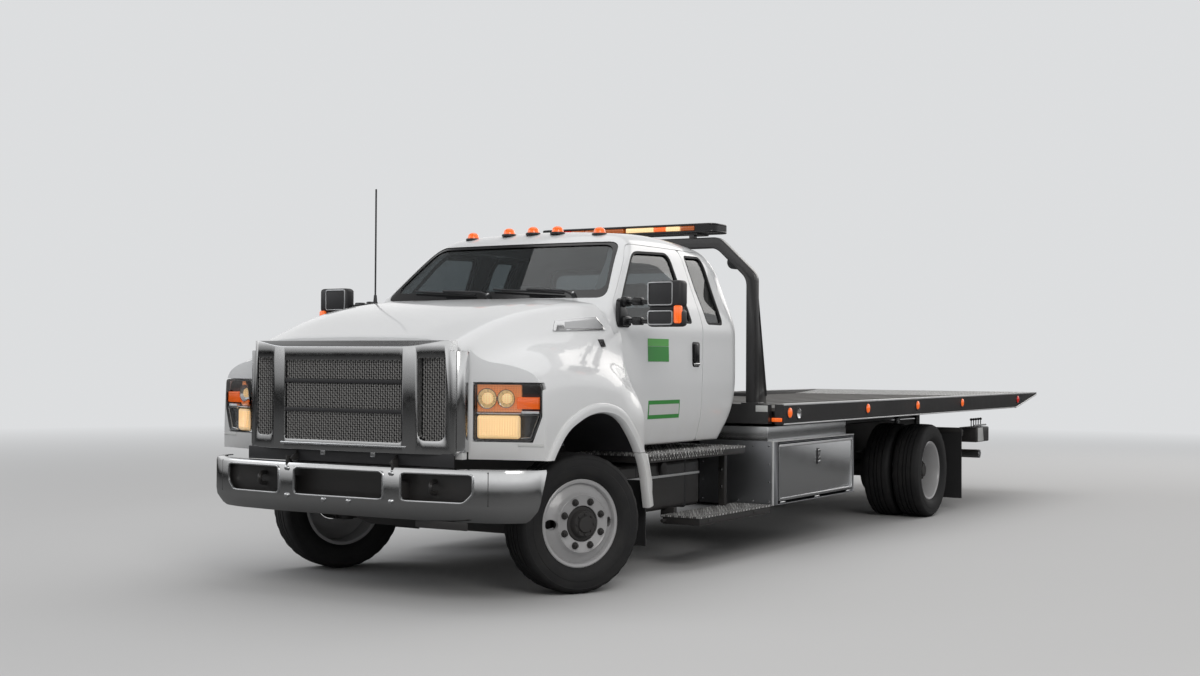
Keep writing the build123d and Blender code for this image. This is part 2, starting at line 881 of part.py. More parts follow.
with BuildPart() as headlamps:
    for _, side in SIDES:
        plan_prism(
            [
                (side * (lamp_x[0] + 4), -868),
                (side * (lamp_x[0] + 4), -822),
                (side * (lamp_x[1] - 4), -722),
                (side * (lamp_x[1] - 4), -760),
            ],
            (lamp_z[0] + 4, lamp_z[1] - 4),
        )
        front_prism(
            [
                (side * (lamp_x[1] - lamp_corner[0] - 4), lamp_z[0] - 1),
                (side * (lamp_x[1] + 20), lamp_z[0] - 1),
                (side * (lamp_x[1] + 20), lamp_z[0] + lamp_corner[1] + 4),
                (side * (lamp_x[1] - 4), lamp_z[0] + lamp_corner[1] + 4),
            ],
            (at(-1000), at(-700)),
            Mode.SUBTRACT,
        )
finish(headlamps, "headlamps")

# Steps, tank boxes, toolboxes with their doors
with BuildPart() as steps:
    for _, side in SIDES:
        for x, y, z in (upper_step, lower_step):
            block((side * x[0], side * x[1]), (at(y[0]), at(y[1])), z)
        for station in (1250, 2000):
            z = (lower_step[2][1], upper_step[2][0])
            block((side * 900, side * 960), (at(station), at(station + 40)), z)
        for station in (700, 1950):
            block((side * rail_outer, side * upper_step[0][0]), (at(station), at(station + 60)), (742, 792))
finish(steps, "side_steps")

with BuildPart() as tanks:
    for _, side in SIDES:
        block((side * tank_x[0], side * tank_x[1]), (at(tank_y[0]), at(tank_y[1])), tank_z)
        for station in (800, 1600):
            block((side * rail_outer, side * tank_x[0]), (at(station), at(station + 60)), (600, 700))
finish(tanks, "fuel_tanks")

with BuildPart() as toolboxes:
    for _, side in SIDES:
        x = (side * toolbox_x[0], side * toolbox_x[1])
        block(x, (at(toolbox_y[0]), at(toolbox_y[1])), toolbox_z)
        block(
            (side * (toolbox_x[0] + box_wall), side * (toolbox_x[1] - 30)),
            (at(toolbox_y[0] + box_wall), at(toolbox_y[1] - box_wall)),
            (toolbox_z[0] + box_wall, toolbox_z[1] - box_wall),
            Mode.SUBTRACT,
        )
        block(
            (side * (toolbox_x[1] - 40), side * (toolbox_x[1] + 10)),
            (at(toolbox_door_y[0] - clearance), at(toolbox_door_y[1] + clearance)),
            (toolbox_z[0] + box_wall, toolbox_z[1] - box_wall),
            Mode.SUBTRACT,
        )
        block(
            (side * toolbox_tray[0][0], side * toolbox_tray[0][1]),
            (at(toolbox_tray[1][0]), at(toolbox_tray[1][1])),
            toolbox_tray[2],
        )
        for station in (2700, 3500):
            block((side * rail_outer, side * toolbox_x[0]), (at(station), at(station + 60)), (620, 760))
finish(toolboxes, "toolboxes")

for name, side in SIDES:
    with BuildPart() as toolbox_door:
        block(
            (side * (toolbox_x[1] - 22), side * toolbox_x[1]),
            (at(toolbox_door_y[0]), at(toolbox_door_y[1])),
            (toolbox_z[0] + box_wall + clearance, toolbox_z[1] - box_wall - clearance),
        )
    finish(toolbox_door, f"toolbox_door_{name}")

with BuildPart() as flaps:
    for _, side in SIDES:
        block((side * 720, side * flap_outer), (at(rear_flap_y), at(rear_flap_y + 12)), (110, 800))
        bracket = (at(rear_flap_y + 12), at(rear_flap_y + 50))
        block((side * rail_outer, side * flap_outer), bracket, (700, 760))
        # behind the front wheels: flap and the fender's rear edge
        block((side * 640, side * 1150), (at(505), at(517)), (230, 640))
        side_prism(
            [(300, 818), (364, 732), (410, 506), (425, 480), (505, 480), (505, 818)],
            (side * (fender_x - 92), side * (fender_x - 12)),
        )
        block((side * rail_outer, side * 1130), (at(505), at(545)), (590, 640))
finish(flaps, "mud_flaps")

with BuildPart() as tail_lamps:
    block((-560, 560), (at(rail_rear + 6), at(rail_rear + 50)), (600, 700))
    for _, side in SIDES:
        block((side * 395, side * 455), (at(rail_rear), at(rail_rear + 10)), (640, 680))
finish(tail_lamps, "tail_lamps")

with BuildPart() as levers:
    for _, side in SIDES:
        block((side * 1000, side * 1180), (at(wheelbase + 1402), at(wheelbase + 1802)), (610, 780))
        block((side * rail_outer, side * 1000), (at(wheelbase + 1522), at(wheelbase + 1602)), (640, 720))
finish(levers, "lever_stations")

# Carrier: tilt frame that hinges on the chassis, and the deck that slides along it, with its winch pad
with BuildPart() as tilt_frame:
    for _, side in SIDES:
        x = (side * tilt_beam_x[0], side * tilt_beam_x[1])
        block(x, (at(tilt_frame_front), at(tilt_pivot_y)), tilt_frame_z)
        rod(
            (x[0], at(tilt_pivot_y), tilt_pivot_z),
            (x[1], at(tilt_pivot_y), tilt_pivot_z),
            tilt_pivot_z - tilt_frame_z[0],
        )
finish(tilt_frame, "tilt_frame")

with BuildPart() as tilt_crossers:
    for station in (tilt_frame_front, 3600, wheelbase - 778, wheelbase + 572):
        block(
            (-tilt_beam_x[0], tilt_beam_x[0]),
            (at(station), at(station + 80)),
            (tilt_frame_z[0] + 5, tilt_frame_z[1]),
        )
    pivot = Vector(0, at(tilt_pivot_y), tilt_pivot_z)
    between_beams = Vector(tilt_beam_x[0], 0, 0)
    rod(pivot - between_beams, pivot + between_beams, 30)
    for _, side in SIDES:
        pin = Vector(0, at(rod_pin[0]), rod_pin[1])
        rod(pin + Vector(side * tilt_beam_x[1], 0, 0), pin + Vector(side * 600, 0, 0), cylinder_pin_radius)
        rod(pivot + Vector(side * tilt_beam_x[1], 0, 0), pivot + Vector(side * 463, 0, 0), 30)
finish(tilt_crossers, "tilt_cross_members")

with BuildPart() as deck:
    block((-deck_inner, deck_inner), (at(deck_front), at(tail_rise)), floor_z)
    block((-deck_inner, deck_inner), (at(deck_front), at(winch_pad_end)), (floor_z[0], winch_floor))
finish(deck, "deck")

with BuildPart() as deck_rails:
    for _, side in SIDES:
        side_prism(
            [
                (deck_front, deck_bottom),
                (deck_front, deck_top),
                (tail, deck_top),
                (tail, tail_tip_bottom),
                (tail_rise, tail_underside),
                (tail_rise - 100, deck_bottom),
            ],
            (side * deck_inner, side * deck_half),
        )
        block(
            (side * deck_sill_x[0], side * deck_sill_x[1]),
            (at(deck_front), at(tail_rise - 60)),
            (deck_bottom, floor_z[0]),
        )
finish(deck_rails, "deck_rails")

# Beams between the rails, the deck's front box and the tail ramp
with BuildPart() as deck_frame:
    first = deck_front + 30
    last = tail_rise - 120
    count = round((last - first) / cross_pitch)
    for i in range(count + 1):
        y = first + i * (last - cross_width - first) / count
        for x in (
            (-deck_inner, -deck_sill_x[1]),
            (-deck_sill_x[0], deck_sill_x[0]),
            (deck_sill_x[1], deck_inner),
        ):
            block(x, (at(y), at(y + cross_width)), (deck_bottom + 10, floor_z[0]))
    side_prism(
        [
            (tail_rise - 60, tail_underside),
            (tail_rise - 60, floor_z[0]),
            (tail_rise, floor_z[0]),
            (tail_rise, floor_z[1]),
            (tail, deck_top),
            (tail, tail_tip_bottom),
            (tail_rise, tail_underside),
        ],
        (-deck_inner, deck_inner),
    )
    block((-1200, 1200), (at(arch_y - 44), at(deck_front)), (deck_bottom + 5, deck_top))
finish(deck_frame, "deck_frame")

# Arch behind the cab: two legs, and the bent top with its gussets, cross tube and light bar posts
arch_split = arch_bend_z - 30
with BuildPart() as arch_legs:
    for _, side in SIDES:
        x = (side * (arch_legs_x - arch_tube[0] / 2), side * (arch_legs_x + arch_tube[0] / 2))
        block(x, (at(arch_y - 30), at(arch_y + 30)), (deck_top, arch_split))
finish(arch_legs, "deck_arch")

with BuildPart() as arch_top:
    half = arch_tube[0] / 2
    outer = [
        (arch_legs_x + half, arch_split),
        (arch_legs_x + half, arch_bend_z + 16),
        (arch_top_x + 14, arch_top_z + half),
    ]
    inner = [
        (arch_legs_x - half, arch_split),
        (arch_legs_x - half, arch_bend_z - 16),
        (arch_top_x - 14, arch_top_z - half),
    ]
    ring = outer + [(-x, z) for x, z in reversed(outer)] + [(-x, z) for x, z in inner] + inner[::-1]
    front_prism(ring, (at(arch_y - 30), at(arch_y + 30)))
    leg_inner = arch_legs_x - half
    block((-leg_inner, leg_inner), (at(arch_y - 12), at(arch_y + 12)), (1140, 1165))
    for _, side in SIDES:
        side_prism(
            [
                (arch_y + 30, deck_top),
                (arch_y + 30, 1950),
                (arch_y + 60, 1950),
                (arch_y + 230, 1140),
                (arch_y + 230, deck_top),
            ],
            (side * (arch_legs_x - 6), side * (arch_legs_x + 6)),
        )
        # posts up to the light bar
        block((side * 540, side * 580), (at(arch_y - 30), at(arch_y + 30)), (arch_top_z + 30, 2342))
finish(arch_top, "deck_arch_top")

with BuildPart() as light_bar:
    block((-bar_half, bar_half), (at(bar_y - 130), at(bar_y + 130)), (2342, 2410))
finish(light_bar, "light_bar")

with BuildPart() as winch:
    rod((-260, at(2620), 1162), (260, at(2620), 1162), 60)
    for x in (-270, 250):
        rod((x, at(2620), 1162), (x + 20, at(2620), 1162), 98)
        block((x, x + 20), (at(2540), at(2700)), (winch_floor, 1162))
    block((270, 470), (at(2560), at(2680)), (winch_floor + 30, 1222))
    block((-400, 500), (at(2540), at(2700)), (winch_floor, winch_floor + 12))
    block((290, 450), (at(2570), at(2670)), (winch_floor + 12, winch_floor + 30))
finish(winch, "winch")

# Tilt cylinders, one beside each rail
barrel_line = Vector(0, rod_pin[0] - barrel_pin[0], rod_pin[1] - barrel_pin[1])
direction = barrel_line.normalized()
with BuildPart() as barrels:
    for _, side in SIDES:
        start = Vector(side * barrel_x, at(barrel_pin[0]), barrel_pin[1])
        rod(start + direction * 30, start + direction * 300, cylinder_radius)
        rod((side * (barrel_x - 25), start.Y, start.Z), (side * (barrel_x + 25), start.Y, start.Z), 40)
    for _, side in SIDES:
        start = Vector(side * barrel_x, at(barrel_pin[0]), barrel_pin[1])
        rod(start + direction * 70, start + direction * 305, rod_radius + 6, Mode.SUBTRACT)
        rod(
            (side * (barrel_x - 60), start.Y, start.Z),
            (side * (barrel_x + 60), start.Y, start.Z),
            cylinder_pin_radius + run_fit,
            Mode.SUBTRACT,
        )
finish(barrels, "tilt_barrels")

with BuildPart() as rods:
    for _, side in SIDES:
        start = Vector(side * barrel_x, at(barrel_pin[0]), barrel_pin[1])
        eye = Vector(side * barrel_x, at(rod_pin[0]), rod_pin[1])
        rod(start + direction * 85, eye - direction * 34, rod_radius)
        rod((side * (barrel_x - 22), eye.Y, eye.Z), (side * (barrel_x + 22), eye.Y, eye.Z), rod_eye_radius)
    for _, side in SIDES:
        eye = Vector(side * barrel_x, at(rod_pin[0]), rod_pin[1])
        inner = (side * (barrel_x - 40), eye.Y, eye.Z)
        outer = (side * (barrel_x + 40), eye.Y, eye.Z)
        rod(inner, outer, rod_eye_hole, Mode.SUBTRACT)
finish(rods, "tilt_rods")

# Wheel lift: boom, extension and crossbar
with BuildPart() as boom:
    block((-boom_half, boom_half), (at(boom_pivot[0] + 30), at(boom_end)), boom_z)
    block(
        (-boom_half + boom_wall, boom_half - boom_wall),
        (at(boom_pivot[0] + 40), at(boom_end + 10)),
        (boom_z[0] + boom_wall, boom_z[1] - boom_wall),
        Mode.SUBTRACT,
    )
    for x in (-boom_half, boom_half - 20):
        rod((x, at(boom_pivot[0]), boom_pivot[1]), (x + 20, at(boom_pivot[0]), boom_pivot[1]), 55)
        z = (boom_pivot[1] - 55, boom_pivot[1] + 55)
        block((x, x + 20), (at(boom_pivot[0]), at(boom_pivot[0] + 35)), z)
    rod(
        (-boom_half - 5, at(boom_pivot[0]), boom_pivot[1]),
        (boom_half + 5, at(boom_pivot[0]), boom_pivot[1]),
        tilt_pin_radius + run_fit,
        Mode.SUBTRACT,
    )
finish(boom, "lift_boom")

with BuildPart() as extension:
    block((-inner_half, inner_half), (at(inner_start), at(inner_end)), inner_z)
    for z in ((394, 415), (535, 556)):
        block((-60, 60), (at(inner_end - 4), at(bar_centre + 50)), (z[0], z[1]))
    block((-60, 60), (at(inner_end - 4), at(inner_end)), (394, 556))
    rod((0, at(bar_centre), 394), (0, at(bar_centre), 556), swivel_radius)
    block((-60, 60), (at(inner_end + 0.01), at(bar_centre + 60)), (409, 541), Mode.SUBTRACT)
    rod((0, at(bar_centre), 400), (0, at(bar_centre), 550), swivel_radius)
finish(extension, "lift_extension")

with BuildPart() as crossbar:
    y = (at(bar_centre - bar_depth / 2), at(bar_centre + bar_depth / 2))
    block((-crossbar_half, crossbar_half), y, inner_z)
    rod((0, at(bar_centre), 390), (0, at(bar_centre), 560), swivel_radius + run_fit, Mode.SUBTRACT)
finish(crossbar, "lift_crossbar")
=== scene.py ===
import bpy
import math
from mathutils import Matrix, Vector


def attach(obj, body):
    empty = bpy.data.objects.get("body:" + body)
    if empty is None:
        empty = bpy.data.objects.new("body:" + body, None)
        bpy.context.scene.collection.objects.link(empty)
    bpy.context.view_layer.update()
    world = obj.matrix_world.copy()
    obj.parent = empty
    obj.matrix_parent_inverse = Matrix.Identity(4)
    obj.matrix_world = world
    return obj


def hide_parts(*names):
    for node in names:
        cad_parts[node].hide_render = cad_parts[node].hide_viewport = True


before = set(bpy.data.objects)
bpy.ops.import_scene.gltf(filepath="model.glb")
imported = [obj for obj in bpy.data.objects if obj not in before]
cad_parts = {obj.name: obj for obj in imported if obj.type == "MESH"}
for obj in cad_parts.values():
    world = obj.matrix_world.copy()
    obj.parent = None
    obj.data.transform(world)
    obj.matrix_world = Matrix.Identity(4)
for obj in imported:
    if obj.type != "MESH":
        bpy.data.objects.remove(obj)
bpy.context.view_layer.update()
print("frame loaded")

# Stations are metres behind the front axle, heights are above the ground
frontAxle = -3.847
sides = (("left", 1), ("right", -1))


def at(station):
    return frontAxle + station


# Camera at the photograph's place
photo = {
    "place": (5.974, -11.897, 1.380),
    "yaw": 31.11,
    "pitch": 0.89,
    "roll": 0.35,
    "focalPixels": 1565.94,
    "widthPixels": 1200,
    "sensor": 36,
}


def makeCamera():
    yaw, pitch, roll = (math.radians(photo[k]) for k in ("yaw", "pitch", "roll"))
    ahead = Vector((-math.sin(yaw) * math.cos(pitch), math.cos(yaw) * math.cos(pitch), math.sin(pitch)))
    level = Vector((math.cos(yaw), math.sin(yaw), 0))
    upright = level.cross(ahead)
    right = level * math.cos(roll) + upright * math.sin(roll)
    up = upright * math.cos(roll) - level * math.sin(roll)
    bpy.ops.object.camera_add(location=photo["place"])
    camera = bpy.context.object
    turn = Matrix((right, up, -ahead)).transposed()
    camera.rotation_euler = turn.to_euler()
    camera.data.sensor_width = photo["sensor"]
    camera.data.lens = photo["focalPixels"] / photo["widthPixels"] * photo["sensor"]
    camera.data.clip_end = 500
    bpy.context.scene.camera = camera


# Shader values written as arithmetic
class Value:
    def __init__(self, tree, socket):
        self.tree = tree
        self.socket = socket

    def math(self, operation, other=None, swap=False):
        node = self.tree.nodes.new("ShaderNodeMath")
        node.operation = operation
        first, second = (node.inputs[1], node.inputs[0]) if swap else (node.inputs[0], node.inputs[1])
        self.tree.links.new(self.socket, first)
        if isinstance(other, Value):
            self.tree.links.new(other.socket, second)
        elif other is not None:
            second.default_value = other
        return Value(self.tree, node.outputs[0])

    def __add__(self, other):
        return self.math("ADD", other)

    __radd__ = __add__

    def __mul__(self, other):
        return self.math("MULTIPLY", other)

    __rmul__ = __mul__

    def __sub__(self, other):
        return self.math("SUBTRACT", other)

    def __rsub__(self, other):
        return self.math("SUBTRACT", other, swap=True)

    def power(self, other):
        return self.math("POWER", other)

    def sine(self):
        return self.math("SINE")

    def size(self):
        return self.math("ABSOLUTE")


class Finish:
    # one material, with its nodes made by a few short calls
    def __init__(self, name):
        self.material = bpy.data.materials.new(name)
        self.material.use_nodes = True
        self.tree = self.material.node_tree
        self.tree.nodes.clear()
        self.output = self.tree.nodes.new("ShaderNodeOutputMaterial")
        self.shader = self.tree.nodes.new("ShaderNodeBsdfPrincipled")
        self.tree.links.new(self.shader.outputs[0], self.output.inputs[0])
        self.place = self.node("ShaderNodeTexCoord", {}, {}, "Object")

    def node(self, kind, settings, inputs, output=0):
        node = self.tree.nodes.new(kind)
        for key, value in settings.items():
            if key == "stops":
                for i, (place, colour) in enumerate(value):
                    stop = node.color_ramp.elements[i] if i < 2 else node.color_ramp.elements.new(place)
                    stop.position = place
                    stop.color = colour
            else:
                setattr(node, key, value)
        for key, value in inputs.items():
            if isinstance(value, Value):
                self.tree.links.new(value.socket, node.inputs[key])
            else:
                node.inputs[key].default_value = value
        return Value(self.tree, node.outputs[output])

    def noise(self, scale, detail=3, place=None, stretch=(1, 1, 1)):
        moved = self.node("ShaderNodeMapping", {}, {"Vector": place or self.place, "Scale": stretch})
        return self.node(
            "ShaderNodeTexNoise", {"noise_dimensions": "3D"},
            {"Vector": moved, "Scale": scale, "Detail": detail, "Roughness": 0.6},
        )

    def along(self, axis):
        parts = self.node("ShaderNodeSeparateXYZ", {}, {0: self.place}, "XYZ".index(axis))
        return parts

    def ramp(self, value, low, high):
        return self.node(
            "ShaderNodeMapRange", {"clamp": True},
            {0: value, 1: low, 2: high, 3: 0.0, 4: 1.0},
        )

    def mix(self, factor, first, second):
        node = self.tree.nodes.new("ShaderNodeMix")
        node.data_type = "RGBA"
        for index, value in ((0, factor), (6, first), (7, second)):
            if isinstance(value, Value):
                self.tree.links.new(value.socket, node.inputs[index])
            else:
                node.inputs[index].default_value = value if index == 0 else (*value[:3], 1)
        return Value(self.tree, node.outputs[2])

    def bump(self, height, strength, distance):
        return self.node(
            "ShaderNodeBump", {}, {"Height": height, "Strength": strength, "Distance": distance},
        )

    def set(self, **sockets):
        names = {
            "colour": "Base Color", "rough": "Roughness", "metal": "Metallic", "coat": "Coat Weight",
            "coatRough": "Coat Roughness", "normal": "Normal", "alpha": "Alpha", "glow": "Emission Color",
            "glowStrength": "Emission Strength", "clear": "Transmission Weight", "ior": "IOR",
            "sheen": "Sheen Weight", "shine": "Specular IOR Level",
        }
        for key, value in sockets.items():
            socket = self.shader.inputs[names[key]]
            if isinstance(value, Value):
                self.tree.links.new(value.socket, socket)
            elif key in ("colour", "glow"):
                socket.default_value = (*value[:3], 1)
            else:
                socket.default_value = value
        return self.material


paintWear = {
    "white": (0.78, 0.79, 0.80),
    "dust": (0.52, 0.47, 0.40),
    "dustLow": 0.75,
    "dustHigh": 1.25,
    "peelScale": 260,
}


def whitePaint():
    f = Finish("whitePaint")
    height = f.along("Z")
    dust = (1 - f.ramp(height, paintWear["dustLow"], paintWear["dustHigh"])) * f.noise(5, 6) * 0.35
    tint = f.mix(f.noise(1.3, 2) * 0.25, paintWear["white"], (0.74, 0.76, 0.79))
    peel = f.bump(f.noise(paintWear["peelScale"], 2), 0.01, 0.0005)
    return f.set(
        colour=f.mix(dust, tint, paintWear["dust"]), rough=f.noise(7, 4) * 0.08 + 0.28 + dust * 0.4,
        coat=0.8, coatRough=0.06, normal=peel,
    )


def paint(name, colour, worn, rough, scale=9, coat=0.3):
    f = Finish(name)
    patches = f.noise(scale, 6)
    scuffs = f.ramp(f.noise(scale * 9, 5, stretch=(1, 0.3, 1)), 0.62, 0.75)
    return f.set(
        colour=f.mix(patches * 0.4 + scuffs * 0.35, colour, worn), rough=patches * 0.25 + rough,
        coat=coat, coatRough=0.15, normal=f.bump(f.noise(scale * 20, 3), 0.06, 0.001),
    )


def metal(name, colour, worn, rough, scale=12, stretch=(1, 1, 1), bump=0.03):
    f = Finish(name)
    cloud = f.noise(scale, 5)
    grain = f.noise(scale * 12, 3, stretch=stretch)
    return f.set(
        colour=f.mix(cloud * 0.5, colour, worn), rough=cloud * 0.14 + grain * 0.08 + rough, metal=1.0,
        normal=f.bump(grain, bump, 0.001),
    )


def plastic(name, colour, rough, scale=220):
    f = Finish(name)
    grain = f.noise(scale, 2)
    pale = tuple(min(1, c * 1.8 + 0.02) for c in colour)
    return f.set(
        colour=f.mix(f.noise(6, 4) * 0.5, colour, pale), rough=grain * 0.15 + rough,
        normal=f.bump(grain, 0.12, 0.001),
    )


def lens(name, colour, glow, strength):
    # ribs run across it, darker between them
    f = Finish(name)
    ribs = (f.along("Z") * 560).sine() * 0.5 + 0.5
    flutes = (f.along("X") * 430).sine() * 0.5 + 0.5
    shade = ribs * flutes * 0.55
    return f.set(
        colour=f.mix(shade, colour, tuple(c * 0.45 for c in colour)), rough=0.12, coat=0.8,
        coatRough=0.05, normal=f.bump(ribs, 0.25, 0.001),
        glow=f.mix(shade, glow, tuple(c * 0.35 for c in glow)), glowStrength=strength,
    )


def clearGlass(name, colour, rough=0.0):
    f = Finish(name)
    smear = f.ramp(f.noise(3, 5), 0.45, 0.8)
    return f.set(
        colour=colour, rough=smear * 0.03 + rough, clear=1.0, ior=1.45,
        normal=f.bump(f.noise(2, 1), 0.01, 0.001),
    )


def tyreRubber():
    f = Finish("tyreRubber")
    dust = f.noise(9, 6)
    low = f.mix(f.ramp(dust, 0.45, 0.85) * 0.4, (0.010, 0.010, 0.011), (0.045, 0.042, 0.038))
    return f.set(colour=low, rough=dust * 0.2 + 0.62, normal=f.bump(f.noise(160, 3), 0.2, 0.001))


def treadPlate():
    f = Finish("treadPlate")
    x = (f.along("X") * 190 + f.along("Y") * 60).sine()
    y = (f.along("Y") * 190 - f.along("X") * 60).sine()
    bars = f.ramp((x * y).size(), 0.42, 0.62)
    cloud = f.noise(6, 5)
    dull = f.mix(cloud, (0.20, 0.20, 0.20), (0.11, 0.105, 0.10))
    return f.set(
        colour=f.mix(bars, dull, (0.62, 0.62, 0.61)), rough=cloud * 0.2 + 0.34 - bars * 0.1, metal=0.35,
        normal=f.bump(bars, 0.7, 0.003),
    )


def seatCloth():
    f = Finish("seatCloth")
    weave = (f.along("X") * 2400).sine() * (f.along("Z") * 2400).sine()
    return f.set(
        colour=f.mix(f.noise(40, 3), (0.05, 0.052, 0.056), (0.11, 0.112, 0.12)), rough=0.85,
        sheen=0.3, normal=f.bump(weave, 0.3, 0.001),
    )


studio = {
    "pale": (0.72, 0.73, 0.74),
    "near": 6.0,
    "far": 22.0,
    "light": [(0.0, 0.18), (0.7, 0.52)],
    "shine": [(0.0, 0.24), (0.06, 0.38), (0.18, 1.0), (0.46, 0.72), (0.80, 0.14)],
    "ground": 0.15,
}


def floorFinish():
    # pale, and far out as bright as the backdrop, so that no horizon shows; darker where it is mirrored
    f = Finish("floorFinish")
    x, y = f.along("X"), f.along("Y")
    far = f.ramp((x * x + y * y).power(0.5), studio["near"], studio["far"])
    mirroredRay = f.node("ShaderNodeLightPath", {}, {}, "Is Glossy Ray")
    tone = f.mix(f.noise(0.6, 4) * 0.3, (0.62, 0.62, 0.62), (0.59, 0.59, 0.60))
    tone = f.mix(mirroredRay, tone, (studio["ground"],) * 3)
    glow = f.mix(far * (1 - mirroredRay), (0, 0, 0), studio["pale"])
    return f.set(
        colour=f.mix(far, tone, (0, 0, 0)), rough=far * 0.3 + 0.6, glow=glow, glowStrength=1.0, shine=0.0,
    )


def skyLight(world):
    # one pale tone for the camera, a soft sky for light, and one with a bright band for reflections
    tree = world.node_tree
    coordinates = tree.nodes.new("ShaderNodeTexCoord")
    split = tree.nodes.new("ShaderNodeSeparateXYZ")
    tree.links.new(coordinates.outputs["Generated"], split.inputs[0])
    tones = {}
    for name in ("light", "shine"):
        ramp = tree.nodes.new("ShaderNodeValToRGB")
        ramp.color_ramp.interpolation = "EASE"
        for i, (place, level) in enumerate(studio[name]):
            stop = ramp.color_ramp.elements[i] if i < 2 else ramp.color_ramp.elements.new(place)
            stop.position = place
            stop.color = (level, level, level, 1)
        tree.links.new(split.outputs["Z"], ramp.inputs[0])
        tones[name] = ramp.outputs[0]
    seen = tree.nodes.new("ShaderNodeLightPath")
    colour = tones["light"]
    rays = (("Is Glossy Ray", tones["shine"]), ("Is Transmission Ray", None), ("Is Camera Ray", None))
    for ray, tone in rays:
        mixed = tree.nodes.new("ShaderNodeMix")
        mixed.data_type = "RGBA"
        mixed.inputs[7].default_value = (*studio["pale"], 1)
        tree.links.new(seen.outputs[ray], mixed.inputs[0])
        tree.links.new(colour, mixed.inputs[6])
        if tone:
            tree.links.new(tone, mixed.inputs[7])
        colour = mixed.outputs[2]
    tree.links.new(colour, tree.nodes["Background"].inputs[0])
    tree.nodes["Background"].inputs[1].default_value = 1.0


finishes = {
    "white": whitePaint(),
    "deckBlack": paint("deckBlack", (0.013, 0.013, 0.015), (0.055, 0.052, 0.048), 0.22, coat=0.6),
    "chassisBlack": paint("chassisBlack", (0.016, 0.016, 0.018), (0.07, 0.062, 0.052), 0.45),
    "chrome": metal("chrome", (0.66, 0.665, 0.67), (0.54, 0.54, 0.54), 0.04, bump=0.01),
    "polished": metal("polished", (0.80, 0.81, 0.82), (0.60, 0.61, 0.63), 0.12, 5, (1, 12, 1)),
    "brushed": metal("brushed", (0.55, 0.56, 0.57), (0.40, 0.40, 0.41), 0.26, 8, (12, 1, 1)),
    # painted shade: the toolbox body's aluminium, darker and bluer than the polished doors of the same metal
    "shadedBoxMetal": metal("shadedBoxMetal", (0.34, 0.35, 0.37), (0.26, 0.26, 0.27), 0.30, 5, (1, 1, 8)),
    "wheelSilver": paint("wheelSilver", (0.44, 0.44, 0.45), (0.28, 0.27, 0.26), 0.25, 7, 0.6),
    "meshSilver": paint("meshSilver", (0.34, 0.335, 0.33), (0.24, 0.235, 0.23), 0.25, 9, 0.8),
    "cast": paint("cast", (0.025, 0.025, 0.027), (0.07, 0.06, 0.05), 0.5, 14, 0.0),
    "rust": metal("rust", (0.24, 0.19, 0.16), (0.14, 0.10, 0.08), 0.5, 9),
    "blackGloss": plastic("blackGloss", (0.008, 0.008, 0.009), 0.08),
    "blackPlastic": plastic("blackPlastic", (0.016, 0.016, 0.018), 0.42),
    "greyPlastic": plastic("greyPlastic", (0.07, 0.072, 0.076), 0.55),
    "rubber": plastic("rubber", (0.012, 0.012, 0.013), 0.6, 120),
    "tyre": tyreRubber(),
    "tread": treadPlate(),
    "cloth": seatCloth(),
    "tint": clearGlass("tint", (0.26, 0.29, 0.30)),
    "clear": clearGlass("clear", (0.95, 0.95, 0.95)),
    "deckSteel": paint("deckSteel", (0.085, 0.083, 0.080), (0.15, 0.14, 0.125), 0.50, 5, 0.0),
    # painted highlight: flat light grey strips standing in for the bright reflections along polished edges
    "brightEdge": paint("brightEdge", (0.60, 0.61, 0.62), (0.48, 0.48, 0.48), 0.18, 8, 0.6),
    "plate": paint("plate", (0.62, 0.63, 0.62), (0.50, 0.50, 0.49), 0.35),
    "amber": lens("amber", (0.42, 0.10, 0.01), (1.0, 0.20, 0.03), 0.12),
    "amberLit": lens("amberLit", (0.85, 0.14, 0.015), (1.0, 0.16, 0.02), 0.55),
    "red": lens("red", (0.45, 0.010, 0.008), (1.0, 0.03, 0.015), 0.30),
    "warmLit": lens("warmLit", (0.95, 0.72, 0.42), (1.0, 0.66, 0.30), 0.7),
    "warmDim": lens("warmDim", (0.80, 0.36, 0.16), (1.0, 0.36, 0.12), 0.35),
    "green": paint("green", (0.03, 0.26, 0.04), (0.05, 0.32, 0.06), 0.3),
    "greenPale": paint("greenPale", (0.10, 0.40, 0.08), (0.13, 0.45, 0.11), 0.3),
}

# CAD nodes that show as they are; the pieces below replace all others
keptNodes = {
    "chassisBlack": [
        "frame_rails", "cross_members", "frame_brackets", "front_axle", "rear_axle", "leaf_springs",
        "knuckle_left", "knuckle_right",
    ],
    "deckBlack": [
        "tilt_frame", "tilt_cross_members", "tilt_barrels", "lift_boom", "deck_frame", "deck_rails",
    ],
    "cast": ["engine_and_gearbox"],
    "rust": ["exhaust"],
    "chrome": ["tilt_rods"],
    "brushed": ["lift_extension"],
    "deckSteel": ["deck"],
    "blackPlastic": ["antenna"],
}
for finish, nodes in keptNodes.items():
    for node in nodes:
        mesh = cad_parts[node].data
        mesh.materials.clear()
        mesh.materials.append(finishes[finish])
print("CAD nodes dressed")


# Modelling by hand: selecting, shaping and finishing
def only(*objects):
    bpy.ops.object.select_all(action="DESELECT")
    for obj in objects:
        obj.select_set(True)
    bpy.context.view_layer.objects.active = objects[0]


def added(operator, **settings):
    # a new object, with nothing else selected
    bpy.ops.object.select_all(action="DESELECT")
    operator(**settings)
    return bpy.context.object


def modify(obj, kind, **settings):
    only(obj)
    modifier = obj.modifiers.new(kind.lower(), kind)
    for key, value in settings.items():
        setattr(modifier, key, value)
    bpy.ops.object.modifier_apply(modifier=modifier.name)
    return obj


def edit(obj, *steps):
    only(obj)
    bpy.ops.object.mode_set(mode="EDIT")
    bpy.ops.mesh.select_all(action="SELECT")
    for step, settings in steps:
        step(**settings)
    bpy.ops.object.mode_set(mode="OBJECT")
    return obj


